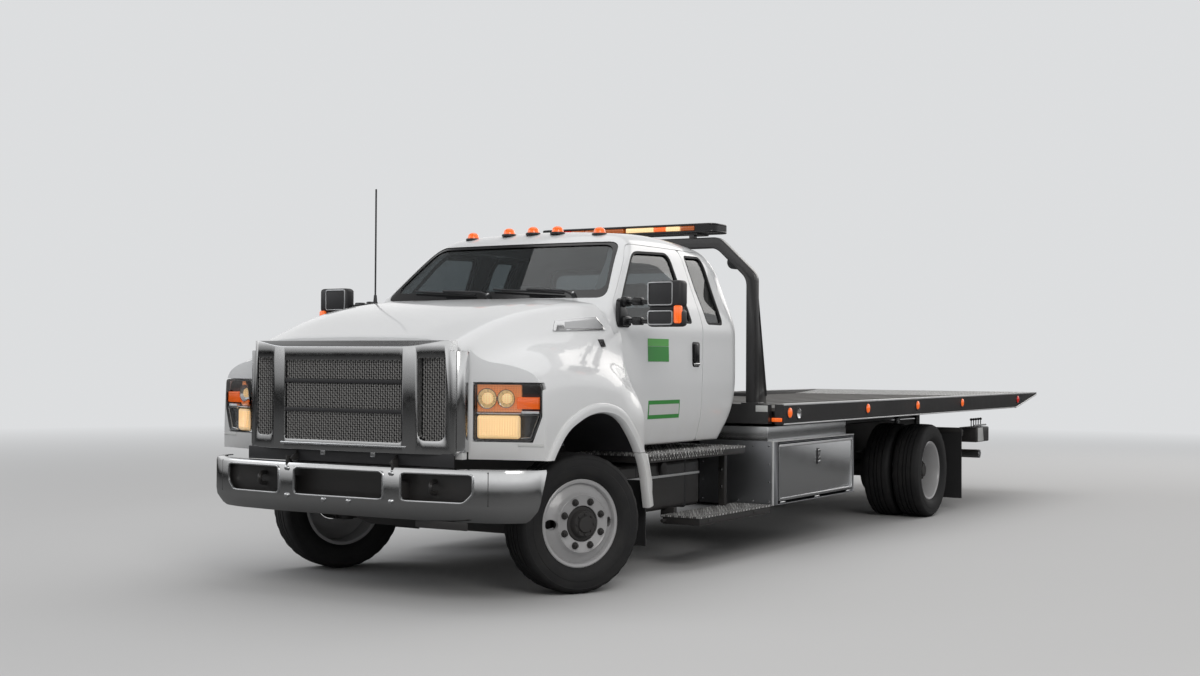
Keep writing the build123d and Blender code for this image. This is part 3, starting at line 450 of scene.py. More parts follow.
def outward(obj):
    return edit(
        obj,
        (bpy.ops.mesh.remove_doubles, {"threshold": 0.00004}),
        (bpy.ops.mesh.normals_make_consistent, {"inside": False}),
    )


def smooth(obj, degrees=35):
    only(obj)
    bpy.ops.object.shade_smooth_by_angle(angle=math.radians(degrees))
    return obj


def soften(obj, width, segments=2, degrees=30):
    limit = math.radians(degrees)
    modify(obj, "BEVEL", width=width, segments=segments, limit_method="ANGLE", angle_limit=limit)
    return smooth(obj)


def settle(obj):
    only(obj)
    bpy.ops.object.transform_apply(location=True, rotation=True, scale=True)
    return obj


def copyOf(obj):
    only(obj)
    bpy.ops.object.duplicate()
    return bpy.context.object


def join(*objects):
    only(*objects)
    if len(objects) > 1:
        bpy.ops.object.join()
    return bpy.context.object


def repeated(obj, count, step):
    return modify(
        obj, "ARRAY", count=count, use_relative_offset=False, use_constant_offset=True,
        constant_offset_displace=step,
    )


def closed(obj):
    # every edge has two faces
    uses = [0] * len(obj.data.edges)
    for loop in obj.data.loops:
        uses[loop.edge_index] += 1
    return all(n == 2 for n in uses)


def boolean(obj, operation, *cutters):
    # the quick solver where both shapes are closed
    for cutter in cutters:
        solver = "MANIFOLD" if closed(obj) and closed(cutter) else "EXACT"
        modify(obj, "BOOLEAN", operation=operation, solver=solver, object=cutter)
        bpy.data.objects.remove(cutter)
    return obj


def cut(obj, *cutters):
    return boolean(obj, "DIFFERENCE", *cutters)


def within(obj, cutter):
    return boolean(obj, "INTERSECT", cutter)


def dress(obj, name, finish, body, *replaced, slot=None):
    obj.name = name
    obj.data.name = name
    obj.data.materials.clear()
    obj.data.materials.append(finishes[finish])
    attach(obj, body)
    if replaced:
        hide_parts(*replaced)
    return obj


def mirrored(obj):
    # the same piece for the right side
    twin = copyOf(obj)
    for vertex in twin.data.vertices:
        vertex.co.x *= -1
    return edit(twin, (bpy.ops.mesh.flip_normals, {}))


def dressBoth(obj, name, finish, body, *replaced, slot=None):
    # a left piece and its mirror image on the right
    twin = mirrored(obj)
    for piece, side in ((obj, "left"), (twin, "right")):
        hidden = [node.format(side) for node in replaced]
        if side == "right":
            hidden = [node for node in hidden if node.endswith("right")]
        dress(piece, name + side.title(), finish, body.format(side), *hidden, slot=slot)


# A view is its origin, the two directions of its outlines and the direction they are pulled out in
sideView = (Vector((0, frontAxle, 0)), Vector((0, 1, 0)), Vector((0, 0, 1)), Vector((1, 0, 0)))
frontView = (Vector((0, frontAxle, 0)), Vector((1, 0, 0)), Vector((0, 0, 1)), Vector((0, 1, 0)))
planView = (Vector((0, frontAxle, 0)), Vector((1, 0, 0)), Vector((0, 1, 0)), Vector((0, 0, 1)))


def slab(outline, low, high, view):
    origin, across, up, out = view
    obj = added(bpy.ops.mesh.primitive_circle_add, vertices=len(outline), fill_type="NGON")
    for vertex, (u, v) in zip(obj.data.vertices, outline):
        vertex.co = origin + across * u + up * v + out * low
    return edit(
        obj,
        (bpy.ops.mesh.extrude_region_move, {"TRANSFORM_OT_translate": {"value": tuple(out * (high - low))}}),
        (bpy.ops.mesh.select_all, {"action": "SELECT"}),
        (bpy.ops.mesh.normals_make_consistent, {"inside": False}),
    )


def block(x, stations, z, soft=0.0):
    low = Vector((min(x), at(min(stations)), min(z)))
    high = Vector((max(x), at(max(stations)), max(z)))
    obj = settle(added(bpy.ops.mesh.primitive_cube_add, size=1, location=(low + high) / 2, scale=high - low))
    return soften(obj, soft, 3) if soft else obj


def blocks(rows, side=1):
    # several blocks from their sizes, on the left or the right
    return [block((side * x[0], side * x[1]), *rest) for x, *rest in rows]


def rod(start, end, radius, vertices=24, soft=0.0):
    start, end = Vector(start), Vector(end)
    line = end - start
    obj = settle(added(
        bpy.ops.mesh.primitive_cylinder_add, vertices=vertices, radius=radius, depth=line.length,
        location=(start + end) / 2, rotation=line.to_track_quat("Z", "Y").to_euler(),
    ))
    return soften(obj, soft, 2, 50) if soft else smooth(obj)


def turned(profile, centre, axle, steps=64):
    # profile points are (place along the axle, radius), closed
    obj = added(bpy.ops.mesh.primitive_circle_add, vertices=len(profile), fill_type="NOTHING")
    for vertex, (along, radius) in zip(obj.data.vertices, profile):
        vertex.co = (along, 0, radius)
    edit(
        obj,
        (bpy.ops.mesh.spin, {"steps": steps, "angle": 2 * math.pi, "center": (0, 0, 0), "axis": (1, 0, 0)}),
    )
    outward(obj)
    obj.rotation_euler = Vector(axle).to_track_quat("X", "Z").to_euler()
    obj.location = centre
    return smooth(settle(obj), 40)


def arcs(points, radius, steps=5, closed=True):
    # an outline with its corners rounded; radius is one number or one for each corner
    made = []
    count = len(points)
    for i, point in enumerate(points):
        here = Vector(point)
        r = radius[i] if hasattr(radius, "__len__") else radius
        if not r or (not closed and i in (0, count - 1)):
            made.append(tuple(here))
            continue
        before, after = Vector(points[i - 1]) - here, Vector(points[(i + 1) % count]) - here
        reach = min(r, before.length * 0.49, after.length * 0.49)
        first, last = here + before.normalized() * reach, here + after.normalized() * reach
        for k in range(steps + 1):
            t = k / steps
            made.append(tuple(first * (1 - t) ** 2 + here * 2 * t * (1 - t) + last * t ** 2))
    return made


def tube(points, radius, corner=0.0, sides=12):
    line = arcs(points, corner, 6, closed=False) if corner else points
    obj = added(bpy.ops.curve.primitive_nurbs_path_add)
    obj.data.splines.clear()
    spline = obj.data.splines.new("POLY")
    spline.points.add(len(line) - 1)
    for point, place in zip(spline.points, line):
        point.co = (*place, 1)
    obj.data.bevel_depth = radius
    obj.data.bevel_resolution = sides // 4
    obj.data.use_fill_caps = True
    obj.data.twist_mode = "MINIMUM"
    only(obj)
    bpy.ops.object.convert(target="MESH")
    return smooth(settle(bpy.context.object), 50)


def loft(rows, ring=True):
    # rows of points, a skin through them; ring rows close on themselves and get a face at both ends
    wide = len(rows[0]) + (1 if ring else 0)
    obj = added(bpy.ops.mesh.primitive_grid_add, x_subdivisions=wide - 1, y_subdivisions=len(rows) - 1)
    for j, row in enumerate(rows):
        for i in range(wide):
            obj.data.vertices[j * wide + i].co = row[i % len(row)]
    if ring:
        edit(
            obj,
            (bpy.ops.mesh.remove_doubles, {"threshold": 0.00004}),
            (bpy.ops.mesh.select_all, {"action": "SELECT"}),
            (bpy.ops.mesh.fill_holes, {"sides": 0}),
        )
    return outward(obj)


def smoothCurve(points, place):
    # a smooth line through (place, value) points
    if place <= points[0][0]:
        return points[0][1]
    for i in range(len(points) - 1):
        (a, va), (b, vb) = points[i], points[i + 1]
        if place <= b:
            slope = (vb - va) / (b - a)
            before = slope if i == 0 else (vb - points[i - 1][1]) / (b - points[i - 1][0])
            after = slope if i + 2 == len(points) else (points[i + 2][1] - va) / (points[i + 2][0] - a)
            t = (place - a) / (b - a)
            return (
                va * (1 + 2 * t) * (1 - t) ** 2 + vb * t * t * (3 - 2 * t)
                + (before * t * (1 - t) ** 2 - after * t * t * (1 - t)) * (b - a)
            )
    return points[-1][1]


def grown(points, amount):
    # an outline moved outwards along its corners' bisectors
    turn = sum(a[0] * b[1] - b[0] * a[1] for a, b in zip(points, points[1:] + points[:1]))
    sign = 1 if turn > 0 else -1
    made = []
    for i, point in enumerate(points):
        here = Vector(point)
        into = (here - Vector(points[i - 1])).normalized()
        away = (Vector(points[(i + 1) % len(points)]) - here).normalized()
        first, second = Vector((into.y, -into.x)) * sign, Vector((away.y, -away.x)) * sign
        bisector = (first + second).normalized()
        made.append(tuple(here + bisector * (amount / max(bisector.dot(first), 0.3))))
    return made


def onSide(points, side):
    return [(side * x, z) for x, z in points]


def mirrorX(points):
    return onSide(points[::-1], -1)


def around(count, circle, turn=0.0):
    # places on a circle, across the axle
    angles = [2 * math.pi * (k + turn) / count for k in range(count)]
    return [(circle * math.cos(angle), circle * math.sin(angle)) for angle in angles]


# Cab: one rounded block, from which the shell, doors, glass and lining are made
cab = {
    "front": 0.335,
    "bottom": 0.845,
    "wall": [
        (0.845, 0.974), (1.0, 1.007), (1.15, 1.017), (1.5, 1.012), (1.64, 1.003), (1.9, 0.904), (2.3, 0.75),
    ],
    "pinch": (0.62, 0.02, 0.08),  # the walls draw in ahead of the first station
    "crown": 2.287,
    "crownAt": 1.36,
    "crownFall": (0.055, 0.035),  # along and across
    "screenFoot": (0.33, 1.735),
    "screenHead": (0.835, 2.195),
    "screenBow": 0.055,
    "rear": (2.175, 1.6),
    "rearBow": (0.092, 0.02),
    "under": ((2.13, 1.12), (0.275, 0.2), 0.34),  # a point on the lower rear slope, and its run and rise
    "shell": 0.04,
    "corners": {"roof": 0.17, "screen": 0.07, "rear": 0.15, "under": 0.12, "nose": 0.03},
    "middle": (0, 1.2, 1.5),
    "cuts": 56,
    "grid": (0.96, 0.9, 0.7),
    "doorGap": 0.0035,
}


def smoothMax(a, b, reach):
    gap = max(reach - abs(a - b), 0) / reach
    return max(a, b) + gap * gap * reach / 4


def onSlope(x, z):
    # the windshield's slant at a place: its station, run and rise
    foot, head = cab["screenFoot"], cab["screenHead"]
    run, rise = head[0] - foot[0], head[1] - foot[1]
    return foot[0] + (z - foot[1]) * run / rise + cab["screenBow"] * (x / 0.85) ** 2, run, rise


def cabField(x, s, z):
    # below zero inside the cab
    start, drawn, reach = cab["pinch"]
    along, across = cab["crownFall"]
    wall = abs(x) - smoothCurve(cab["wall"], z) + drawn * max(start - s, 0) ** 2 / reach
    roof = z - cab["crown"] + along * ((s - cab["crownAt"]) / 0.7) ** 2 + across * (x / 0.7) ** 2
    place, run, rise = onSlope(x, z)
    screen = (place - s) * rise / math.hypot(run, rise)
    (back, height), (bow, bend) = cab["rear"], cab["rearBow"]
    rear = s - back + bow * (z - height) ** 2 + bend * (x / 0.9) ** 4
    (low, high), (out, up), slant = cab["under"]
    under = ((s - low) * out - (z - high) * up) / slant
    faces = {"roof": roof, "screen": screen, "rear": rear, "under": under, "nose": cab["front"] - s}
    value = wall
    for name, face in faces.items():
        value = smoothMax(value, face, cab["corners"][name])
    return max(value, cab["bottom"] - z)


def cabBlock():
    obj = added(bpy.ops.mesh.primitive_cube_add, size=2)
    edit(obj, (bpy.ops.mesh.subdivide, {"number_cuts": cab["cuts"] - 1}))
    middle, grid = Vector(cab["middle"]), Vector(cab["grid"])
    for vertex in obj.data.vertices:
        ray = vertex.co * grid
        low, high = 0.3, 2.0
        for _ in range(18):
            t = (low + high) / 2
            if cabField(*(middle + ray * t)) < 0:
                low = t
            else:
                high = t
        place = middle + ray * low
        vertex.co = (place.x, at(place.y), place.z)
    return obj


def movedIn(solid, depth):
    # the cab's surface, a depth inside or outside the real one
    obj = copyOf(solid)
    middle = Vector(cab["middle"]) + Vector((0, frontAxle, 0))
    for vertex in obj.data.vertices if depth else []:
        ray = vertex.co - middle
        t = 1 - depth / ray.length
        for _ in range(3):
            place = middle + ray * t
            value = cabField(place.x, place.y - frontAxle, place.z)
            t += (value + depth) * (1 - t) / value if abs(value) > 0.00001 else 0
        vertex.co = middle + ray * t
    return obj


def shellOf(solid, depth, thickness):
    # a closed skin between two depths
    outer, inner = movedIn(solid, depth), movedIn(solid, depth + thickness)
    edit(inner, (bpy.ops.mesh.flip_normals, {}))
    return join(outer, inner)


doorShapes = {
    "front": [
        (0.450, 0.850), (0.446, 1.036), (0.402, 1.314), (0.402, 1.650), (0.432, 1.740), (0.838, 2.118),
        (0.905, 2.165), (1.575, 2.165), (1.502, 0.850),
    ],
    "rear": [
        (1.509, 0.850), (1.582, 2.165), (1.960, 2.165), (1.995, 1.650), (1.995, 1.090), (1.898, 0.920),
        (1.850, 0.850),
    ],
    "frontRound": (0.03, 0.2, 0.2, 0.1, 0.1, 0.2, 0.1, 0.03, 0.03),
    "rearRound": (0.03, 0.03, 0.08, 0.1, 0.2, 0.1, 0.05),
    "frontWindow": [
        (0.470, 1.645), (0.470, 1.716), (0.560, 1.810), (0.892, 2.118), (1.400, 2.135), (1.412, 1.645),
    ],
    "rearWindow": [(1.625, 1.645), (1.612, 1.900), (1.612, 2.130), (1.893, 2.138), (1.872, 1.645)],
    "frontWindowRound": (0.03, 0.04, 0.08, 0.09, 0.07, 0.03),
    "rearWindowRound": (0.04, 0.04, 0.05, 0.05, 0.04),
    "seal": 0.016,
    "skin": 0.035,
}
screenShapes = {
    "front": [(-0.888, 1.790), (0.888, 1.790), (0.735, 2.182), (-0.735, 2.182)],
    "frontClear": [(-0.846, 1.845), (0.846, 1.845), (0.712, 2.160), (-0.712, 2.160)],
    "back": [(-0.650, 1.660), (0.650, 1.660), (0.600, 2.080), (-0.600, 2.080)],
    "backClear": [(-0.615, 1.695), (0.615, 1.695), (0.570, 2.045), (-0.570, 2.045)],
    "frontSpan": (0.2, 1.05),
    "backSpan": (2.0, 2.3),
    "round": 0.07,
}


def sidePrism(outline, side, grow=0.0, x=(0.5, 1.15)):
    shape = grown(outline, grow) if grow else outline
    return slab(shape, side * x[0], side * x[1], sideView)


def screenPrisms(suffix="", grow=0.0, longer=0.0):
    made = []
    for k in ("front", "back"):
        outline = arcs(screenShapes[k + suffix], screenShapes["round"])
        low, high = screenShapes[k + "Span"]
        made.append(slab(grown(outline, grow) if grow else outline, low - longer, high + longer, frontView))
    return join(*made)


cabLayers = {  # how deep each starts, and how thick it is
    "panes": (0.010, 0.005),
    "borders": (0.004, 0.0055),
    "seal": (0.002, 0.024),
    "doorPane": (0.014, 0.005),
}


def makeCab():
    solid = cabBlock()
    doorway = doorShapes["front"][:-2] + doorShapes["rear"][2:]
    doorway = arcs(doorway, doorShapes["frontRound"][:-2] + doorShapes["rearRound"][2:])
    doorways = join(*(sidePrism(doorway, side, cab["doorGap"]) for _, side in sides))
    shell = cut(shellOf(solid, 0, cab["shell"]), copyOf(doorways), screenPrisms())
    lining = cut(shellOf(solid, cab["shell"] + 0.001, 0.006), doorways, screenPrisms())
    dress(smooth(shell), "cabBody", "white", "chassis", "cab_shell")
    dress(smooth(lining), "cabLining", "greyPlastic", "chassis")
    panes = within(shellOf(solid, *cabLayers["panes"]), screenPrisms("", 0.012))
    dress(smooth(panes), "cabWindows", "tint", "chassis", "cab_glass")
    rings = cut(screenPrisms("", 0.006), screenPrisms("Clear", 0.0, 0.1))
    borders = within(shellOf(solid, *cabLayers["borders"]), rings)
    dress(smooth(borders), "screenBorders", "blackGloss", "chassis")
    skin = shellOf(solid, 0, doorShapes["skin"])
    trim = shellOf(solid, doorShapes["skin"] + 0.001, 0.02)
    seal = shellOf(solid, *cabLayers["seal"])
    pane = shellOf(solid, *cabLayers["doorPane"])
    for place in ("front", "rear"):
        body, glass = place + "_door_{}", place + "_door_glass_{}"
        outline = arcs(doorShapes[place], doorShapes[place + "Round"])
        window = arcs(doorShapes[place + "Window"], doorShapes[place + "WindowRound"])
        wide = (0.4, 1.2)
        door = within(copyOf(skin), cut(sidePrism(outline, 1), sidePrism(window, 1, 0.0, wide)))
        dressBoth(smooth(door), place + "DoorSkin", "white", body, body)
        card = within(copyOf(trim), cut(sidePrism(outline, 1, -0.02), sidePrism(window, 1, 0.004, wide)))
        dressBoth(smooth(card), place + "DoorTrim", "greyPlastic", body)
        ring = cut(sidePrism(window, 1, 0.0005), sidePrism(window, 1, -doorShapes["seal"], wide))
        dressBoth(smooth(within(copyOf(seal), ring)), place + "WindowSeal", "rubber", body, slot="black_trim")
        sheet = within(copyOf(pane), sidePrism(window, 1, -0.004))
        dressBoth(smooth(sheet), place + "Window", "tint", body, glass)
    for obj in (solid, skin, trim, seal, pane):
        bpy.data.objects.remove(obj)


makeCab()
print("cab and doors made")


# Hood unit: half sections, one row a station, each (x, z) from the middle down to the lower edge
hood = {
    "sections": {
        -0.940: [(0, 1.520), (0.500, 1.514), (0.745, 1.480), (0.840, 1.362), (1.030, 1.312), (1.190, 1.262)],
        -0.573: [(0, 1.650), (0.560, 1.643), (0.765, 1.610), (0.905, 1.468), (1.050, 1.430), (1.195, 1.320)],
        -0.260: [(0, 1.728), (0.600, 1.720), (0.810, 1.688), (0.965, 1.500), (1.065, 1.440), (1.197, 1.320)],
        0.080: [(0, 1.775), (0.640, 1.768), (0.850, 1.738), (1.000, 1.540), (1.075, 1.420), (1.192, 1.280)],
        0.392: [(0, 1.792), (0.660, 1.785), (0.905, 1.745), (1.040, 1.560), (1.046, 1.400), (1.110, 1.240)],
    },
    "fender": 1.217,
    "bottom": 0.830,
    "round": (0, 0.20, 0.045, 0.07, 0.09, 0.10, 0.12, 0),
    "wall": 0.03,
    "hollow": (-0.90, 0.42),
    "mouth": ((-0.74, 0.74), (-1.0, -0.86), (0.80, 1.455)),
    "behind": ((-1.023, 1.023), (0.322, 0.45), (0.7, 1.9)),
    "archRound": 0.12,
    "arch": [
        (-0.720, 0.760), (-0.654, 0.850), (-0.530, 0.986), (-0.288, 1.077), (-0.094, 1.088), (0.088, 1.047),
        (0.256, 0.895), (0.364, 0.732), (0.420, 0.480),
    ],
    "panel": ((0.790, -0.882), (1.240, -0.742)),
    "lamp": [(0.812, 0.930), (1.149, 0.930), (1.200, 1.075), (1.200, 1.265), (0.812, 1.265)],
}


hoodEnds = (min(hood["sections"]), max(hood["sections"]))


def hoodRing(station, inset, place):
    table = hood["sections"]
    half = []
    for i in range(6):
        x = smoothCurve([(s, row[i][0]) for s, row in table.items()], station)
        z = smoothCurve([(s, row[i][1]) for s, row in table.items()], station)
        half.append((x, z))
    low = hood["fender"] - 0.012 * min(max((station - 0.08) / 0.3, 0), 1)
    half += [(low, 1.080), (low, hood["bottom"] - (0.02 if inset else 0))]
    half = arcs(half, hood["round"], 6, closed=False)
    half = [(max(x - inset, 0) if x else 0, z - inset) for x, z in half]
    ring = half + mirrorX([point for point in half if point[0]])
    return [(x, at(place), z) for x, z in ring]


def hoodSolid(inset, ends=hoodEnds, rows=24, wide=1.32):
    first, last = hoodEnds
    stations = [first + (last - first) * k / rows for k in range(rows + 1)]
    places = [ends[0]] + stations[1:-1] + [ends[1]]
    solid = loft([hoodRing(s, inset, place) for s, place in zip(stations, places)])
    (x0, s0), (x1, s1) = hood["panel"]
    slope = (s1 - s0) / (x1 - x0)
    back = inset * 1.3
    for _, side in sides:
        corner = [(x0, -1.1), (x0, s0 + back), (wide, s0 + (wide - x0) * slope + back), (wide, -1.1)]
        cut(solid, slab(onSide(corner, side), 0.6, 1.7, planView))
    return solid


def makeHood():
    shell = hoodSolid(0)
    modify(shell, "BEVEL", width=0.012, segments=3, limit_method="ANGLE", angle_limit=math.radians(38))
    cut(shell, hoodSolid(hood["wall"], hood["hollow"]), block(*hood["behind"]), block(*hood["mouth"]))
    arch = arcs(hood["arch"], hood["archRound"], 4, closed=False)
    for _, side in sides:
        cut(shell, slab(arch, side * 0.9, side * 1.3, sideView))
        cut(shell, slab(onSide(hood["lamp"], side), -1.0, -0.72, frontView))
    dress(smooth(shell, 40), "hoodShell", "white", "hood", "hood")


makeHood()
print("hood made")


def bandAlong(line, section, side):
    # a strip along a side outline; the section is (distance out from the line, x)
    rows = []
    for i, here in enumerate(line):
        before, after = Vector(line[max(i - 1, 0)]), Vector(line[min(i + 1, len(line) - 1)])
        ahead = (after - before).normalized()
        rows.append([(side * x, at(here[0] - ahead.y * u), here[1] + ahead.x * u) for u, x in section])
    return loft(rows)


archTrim = {
    "lip": [(-0.004, 1.180), (-0.004, 1.218), (0.004, 1.230), (0.030, 1.233), (0.056, 1.228), (0.062, 1.190)],
    "liner": [(0.012, 0.680), (0.012, 1.180), (0.020, 1.180), (0.020, 0.680)],
    "split": 0.829,
    "edge": [(0.330, 0.816), (0.395, 0.735), (0.455, 0.494), (0.500, 0.494), (0.500, 0.640), (0.440, 0.816)],
    "edgeWidth": (1.182, 1.206),
}
sidePlate = {
    "outline": [(-0.222, 1.566), (0.247, 1.580), (0.240, 1.662), (-0.150, 1.628)],
    "field": [(-0.120, 1.580), (0.232, 1.590), (0.226, 1.648), (-0.080, 1.622)],
    "square": [(0.135, 1.475), (0.185, 1.477), (0.185, 1.522), (0.135, 1.520)],
    "proud": 0.005,
}


def onHoodSide(outline, proud):
    # a thin plate that follows the hood's left side
    plate = within(hoodSolid(-proud), sidePrism(outline, 1, 0.0, (0.70, 1.30)))
    return cut(plate, hoodSolid(0.002))


def archBox(low, high, back=0.6):
    return block((0.5, 1.4), (-1.0, back), (low, high))


def makeHoodTrim():
    line = arcs(hood["arch"], hood["archRound"], 4, closed=False)
    split = archTrim["split"]
    lip = soften(bandAlong(line, archTrim["lip"], 1), 0.004, 2, 50)
    dressBoth(cut(copyOf(lip), archBox(0.3, split)), "archLip", "white", "hood")
    below = cut(lip, archBox(split - 0.004, 1.4), archBox(0.3, 1.4, 0.1))
    edge = soften(slab(archTrim["edge"], *archTrim["edgeWidth"], sideView), 0.008)
    dressBoth(join(below, edge), "fenderEdge", "white", "chassis", "mud_flaps")
    liner = smooth(bandAlong(line[:-3], archTrim["liner"], 1))
    dressBoth(cut(liner, archBox(0.3, split)), "archLiner", "blackPlastic", "hood")
    proud = sidePlate["proud"]
    plate = soften(onHoodSide(sidePlate["outline"], proud), 0.0015)
    dressBoth(plate, "hoodPlate", "chrome", "hood")
    dressBoth(onHoodSide(sidePlate["field"], proud + 0.0012), "hoodPlateField", "brushed", "hood")
    dressBoth(onHoodSide(sidePlate["square"], proud), "hoodBadge", "blackGloss", "hood")


makeHoodTrim()
print("hood trim made")


# Grille: chrome surround with its openings, honeycomb mesh behind them
grille = {
    "plan": [
        (-0.768, -0.946), (-0.768, -0.978), (-0.500, -1.045),
        (0.500, -1.045), (0.768, -0.978), (0.768, -0.946),
    ],
    "planRound": (0, 0.03, 0.08, 0.08, 0.03, 0),
    "z": (0.857, 1.498),
    "middle": [(-0.440, 0.917), (0.440, 0.917), (0.440, 1.385), (-0.440, 1.385)],
    "slot": [(0.542, 0.933), (0.707, 0.933), (0.707, 1.400), (0.542, 1.400)],
    "slotRound": (0.05, 0.05, 0.015, 0.015),
    "openTo": (-0.990, -0.975, -0.975),
    "meshes": [
        ((-0.440, 0.440), (0.917, 1.385), -1.034), ((0.541, 0.707), (0.933, 1.400), -0.992),
        ((-0.707, -0.541), (0.933, 1.400), -0.992),
    ],
    "facet": [(-1.100, 1.462), (-1.047, 1.462), (-0.985, 1.505), (-1.100, 1.540)],
    "corner": [(0.730, -1.10), (0.730, -0.975), (0.800, -0.900), (0.900, -1.10)],
    "post": [(0.770, -0.975), (0.800, -0.930), (0.800, -0.890), (0.770, -0.890)],
    "hinge": [
        (-1.050, 0.790), (-1.063, 0.803), (-1.050, 0.816), (-1.000, 0.846), (-0.880, 0.860), (-0.880, 0.830),
        (-0.960, 0.800),
    ],
    "cell": (0.034, 0.0140),
    "wire": 0.0046,
    "depth": 0.010,
    "bar": ((-0.441, 0.441), (-1.040, -1.020)),
    "bars": (1.092, 1.262),
    "back": ((-0.445, 0.445), (-0.999, -0.989), (0.910, 1.392)),
    "sideBack": ((0.538, 0.712), (-0.976, -0.974), (0.925, 1.405)),
    "lip": ((-0.470, 0.470), (-1.050, -1.040), (0.888, 0.900), 0.003),
    "valance": ((-0.770, 0.770), (-0.998, -0.986), (0.786, 0.862), 0.003),
    "clips": (-0.178, 0.198),
    "clip": ((-1.004, -0.996), (0.828, 0.862), 0.003),
    "clipHalf": 0.018,
    "postZ": (0.870, 1.440),
    "cornerZ": (1.440, 1.60),
    "hingeX": (0.368, 0.380),
    "barHalf": 0.012,
}


def honeycomb(x, z, station):
    # zigzag ribbons, one over another; each cell is six-sided
    wide, high = grille["cell"]
    count = round((x[1] - x[0]) / wide)
    wide = (x[1] - x[0]) / count
    rows = round((z[1] - z[0]) / high / 2)
    high = (z[1] - z[0]) / rows / 2
    ribbons = []
    for flip in (0, 1):
        line = []
        for k in range(count):
            for along, up in ((0, 0), (0.33, 0), (0.5, 1), (0.83, 1)):
                line.append((x[0] + (k + along) * wide, up))
        line.append((x[1], 0))
        row = [(u, at(station), z[0] + (high * up if not flip else high * (2 - up))) for u, up in line]
        back = [(u, y + grille["depth"], v) for u, y, v in row]
        ribbon = loft([row, back], ring=False)
        modify(ribbon, "SOLIDIFY", thickness=grille["wire"], offset=0)
        ribbons.append(ribbon)
    return repeated(join(*ribbons), rows, (0, 0, high * 2))


def makeGrille():
    surround = slab(arcs(grille["plan"], grille["planRound"], 6), *grille["z"], planView)
    openings = [arcs(grille["middle"], 0.022, 5)]
    openings += [arcs(onSide(grille["slot"], side), grille["slotRound"], 6) for _, side in sides]
    for opening, back in zip(openings, grille["openTo"]):
        cut(surround, slab(opening, -1.2, back, frontView))
    cut(surround, slab(grille["facet"], -1.0, 1.0, sideView))
    for _, side in sides:
        cut(surround, slab(onSide(grille["corner"], side), *grille["cornerZ"], planView))
    dress(soften(surround, 0.008, 3, 25), "grilleSurround", "chrome", "hood", "grille")
    dress(join(*(honeycomb(*place) for place in grille["meshes"])), "grilleMesh", "meshSilver", "hood")
    half = grille["barHalf"]
    backing = [block(*grille["bar"], (z - half, z + half), 0.003) for z in grille["bars"]]
    backing.append(block(*grille["back"]))
    for _, side in sides:
        backing += blocks([grille["sideBack"]], side)
    dress(join(*backing), "grilleBacking", "blackPlastic", "hood")
    dress(block(*grille["lip"]), "grilleLip", "polished", "hood")
    dress(block(*grille["valance"]), "grilleValance", "blackPlastic", "hood")
    posts = [slab(onSide(grille["post"], side), *grille["postZ"], planView) for _, side in sides]
    dress(soften(join(*posts), 0.006), "grilleSides", "chrome", "hood")
    half = grille["clipHalf"]
    clips = [block((x - half, x + half), *grille["clip"]) for x in grille["clips"]]
    dress(join(*clips), "valanceClips", "polished", "hood")
    x0, x1 = grille["hingeX"]
    arms = [slab(grille["hinge"], side * x0, side * x1, sideView) for _, side in sides]
    dress(soften(join(*arms), 0.002), "hoodHingeArms", "chassisBlack", "hood")


makeGrille()
print("grille made")


# Headlamps: black bezel, bowls, lit chambers and a clear cover, drawn square to the slanted corner
lamp = {
    "depth": {  # from back to front, along the lamp's own view
        "bezel": (-0.060, -0.002),
        "opening": (-0.052, 0.050),
        "bar": (-0.050, -0.014),
        "back": (-0.0525, -0.046),
        "bulb": (-0.044, -0.018),
        "lit": (-0.046, -0.016),
        "marker": (-0.046, -0.008),
        "cover": (-0.0015, 0.004),
        "strip": (-0.012, 0.004),
    },
    "rib": (0.004, 1.108, 1.240, -0.047, -0.041),
    "flute": (0.003, 0.966, 1.066, -0.018, -0.0135),
    "guide": (-0.020, 0.005),
    "bulb": (0.60, 24, 0.006),
    "corner": (0.790, -0.882),
    "across": (0.955, 0.297),
    "outline": [(0.026, 0.934), (0.372, 0.934), (0.424, 1.076), (0.424, 1.261), (0.026, 1.261)],
    "round": (0.02, 0.03, 0.03, 0.03, 0.02),
    "opening": [(0.036, 0.944), (0.364, 0.944), (0.414, 1.080), (0.414, 1.251), (0.036, 1.251)],
    "upper": [(0.042, 1.098), (0.290, 1.098), (0.290, 1.246), (0.042, 1.246)],
    "marker": [(0.276, 1.116), (0.405, 1.116), (0.405, 1.182), (0.276, 1.182)],
    "divider": [(0.042, 1.084), (0.300, 1.084), (0.300, 1.094), (0.042, 1.094)],
    "ledge": [(0.300, 1.078), (0.404, 1.078), (0.404, 1.106), (0.300, 1.106)],
    "edge": [(0.402, 1.082), (0.356, 0.958), (0.300, 0.954)],
    "beams": [(0.104, 1.172, 0.054), (0.214, 1.172, 0.048)],
    "bowlDepth": (-0.046, -0.012),
    "litPart": [(0.044, 0.952), (0.290, 0.952), (0.290, 1.080), (0.044, 1.080)],
    "ribs": [0.050 + 0.0157 * k for k in range(16)],
    "flutes": [0.064 + 0.0147 * k for k in range(15)],
    "strip": [(0.290, 0.906), (0.440, 0.906), (0.440, 0.922), (0.290, 0.922)],
}


def lampView():
    x, s = lamp["corner"]
    u, v = lamp["across"]
    return (Vector((x, at(s), 0)), Vector((u, v, 0)), Vector((0, 0, 1)), Vector((v, -u, 0)))


def onLamp(u, z, out):
    origin, across, up, away = lampView()
    return origin + across * u + up * z + away * out


def onView(view, u0, u1, z0, z1, low, high):
    return slab([(u0, z0), (u1, z0), (u1, z1), (u0, z1)], low, high, view)


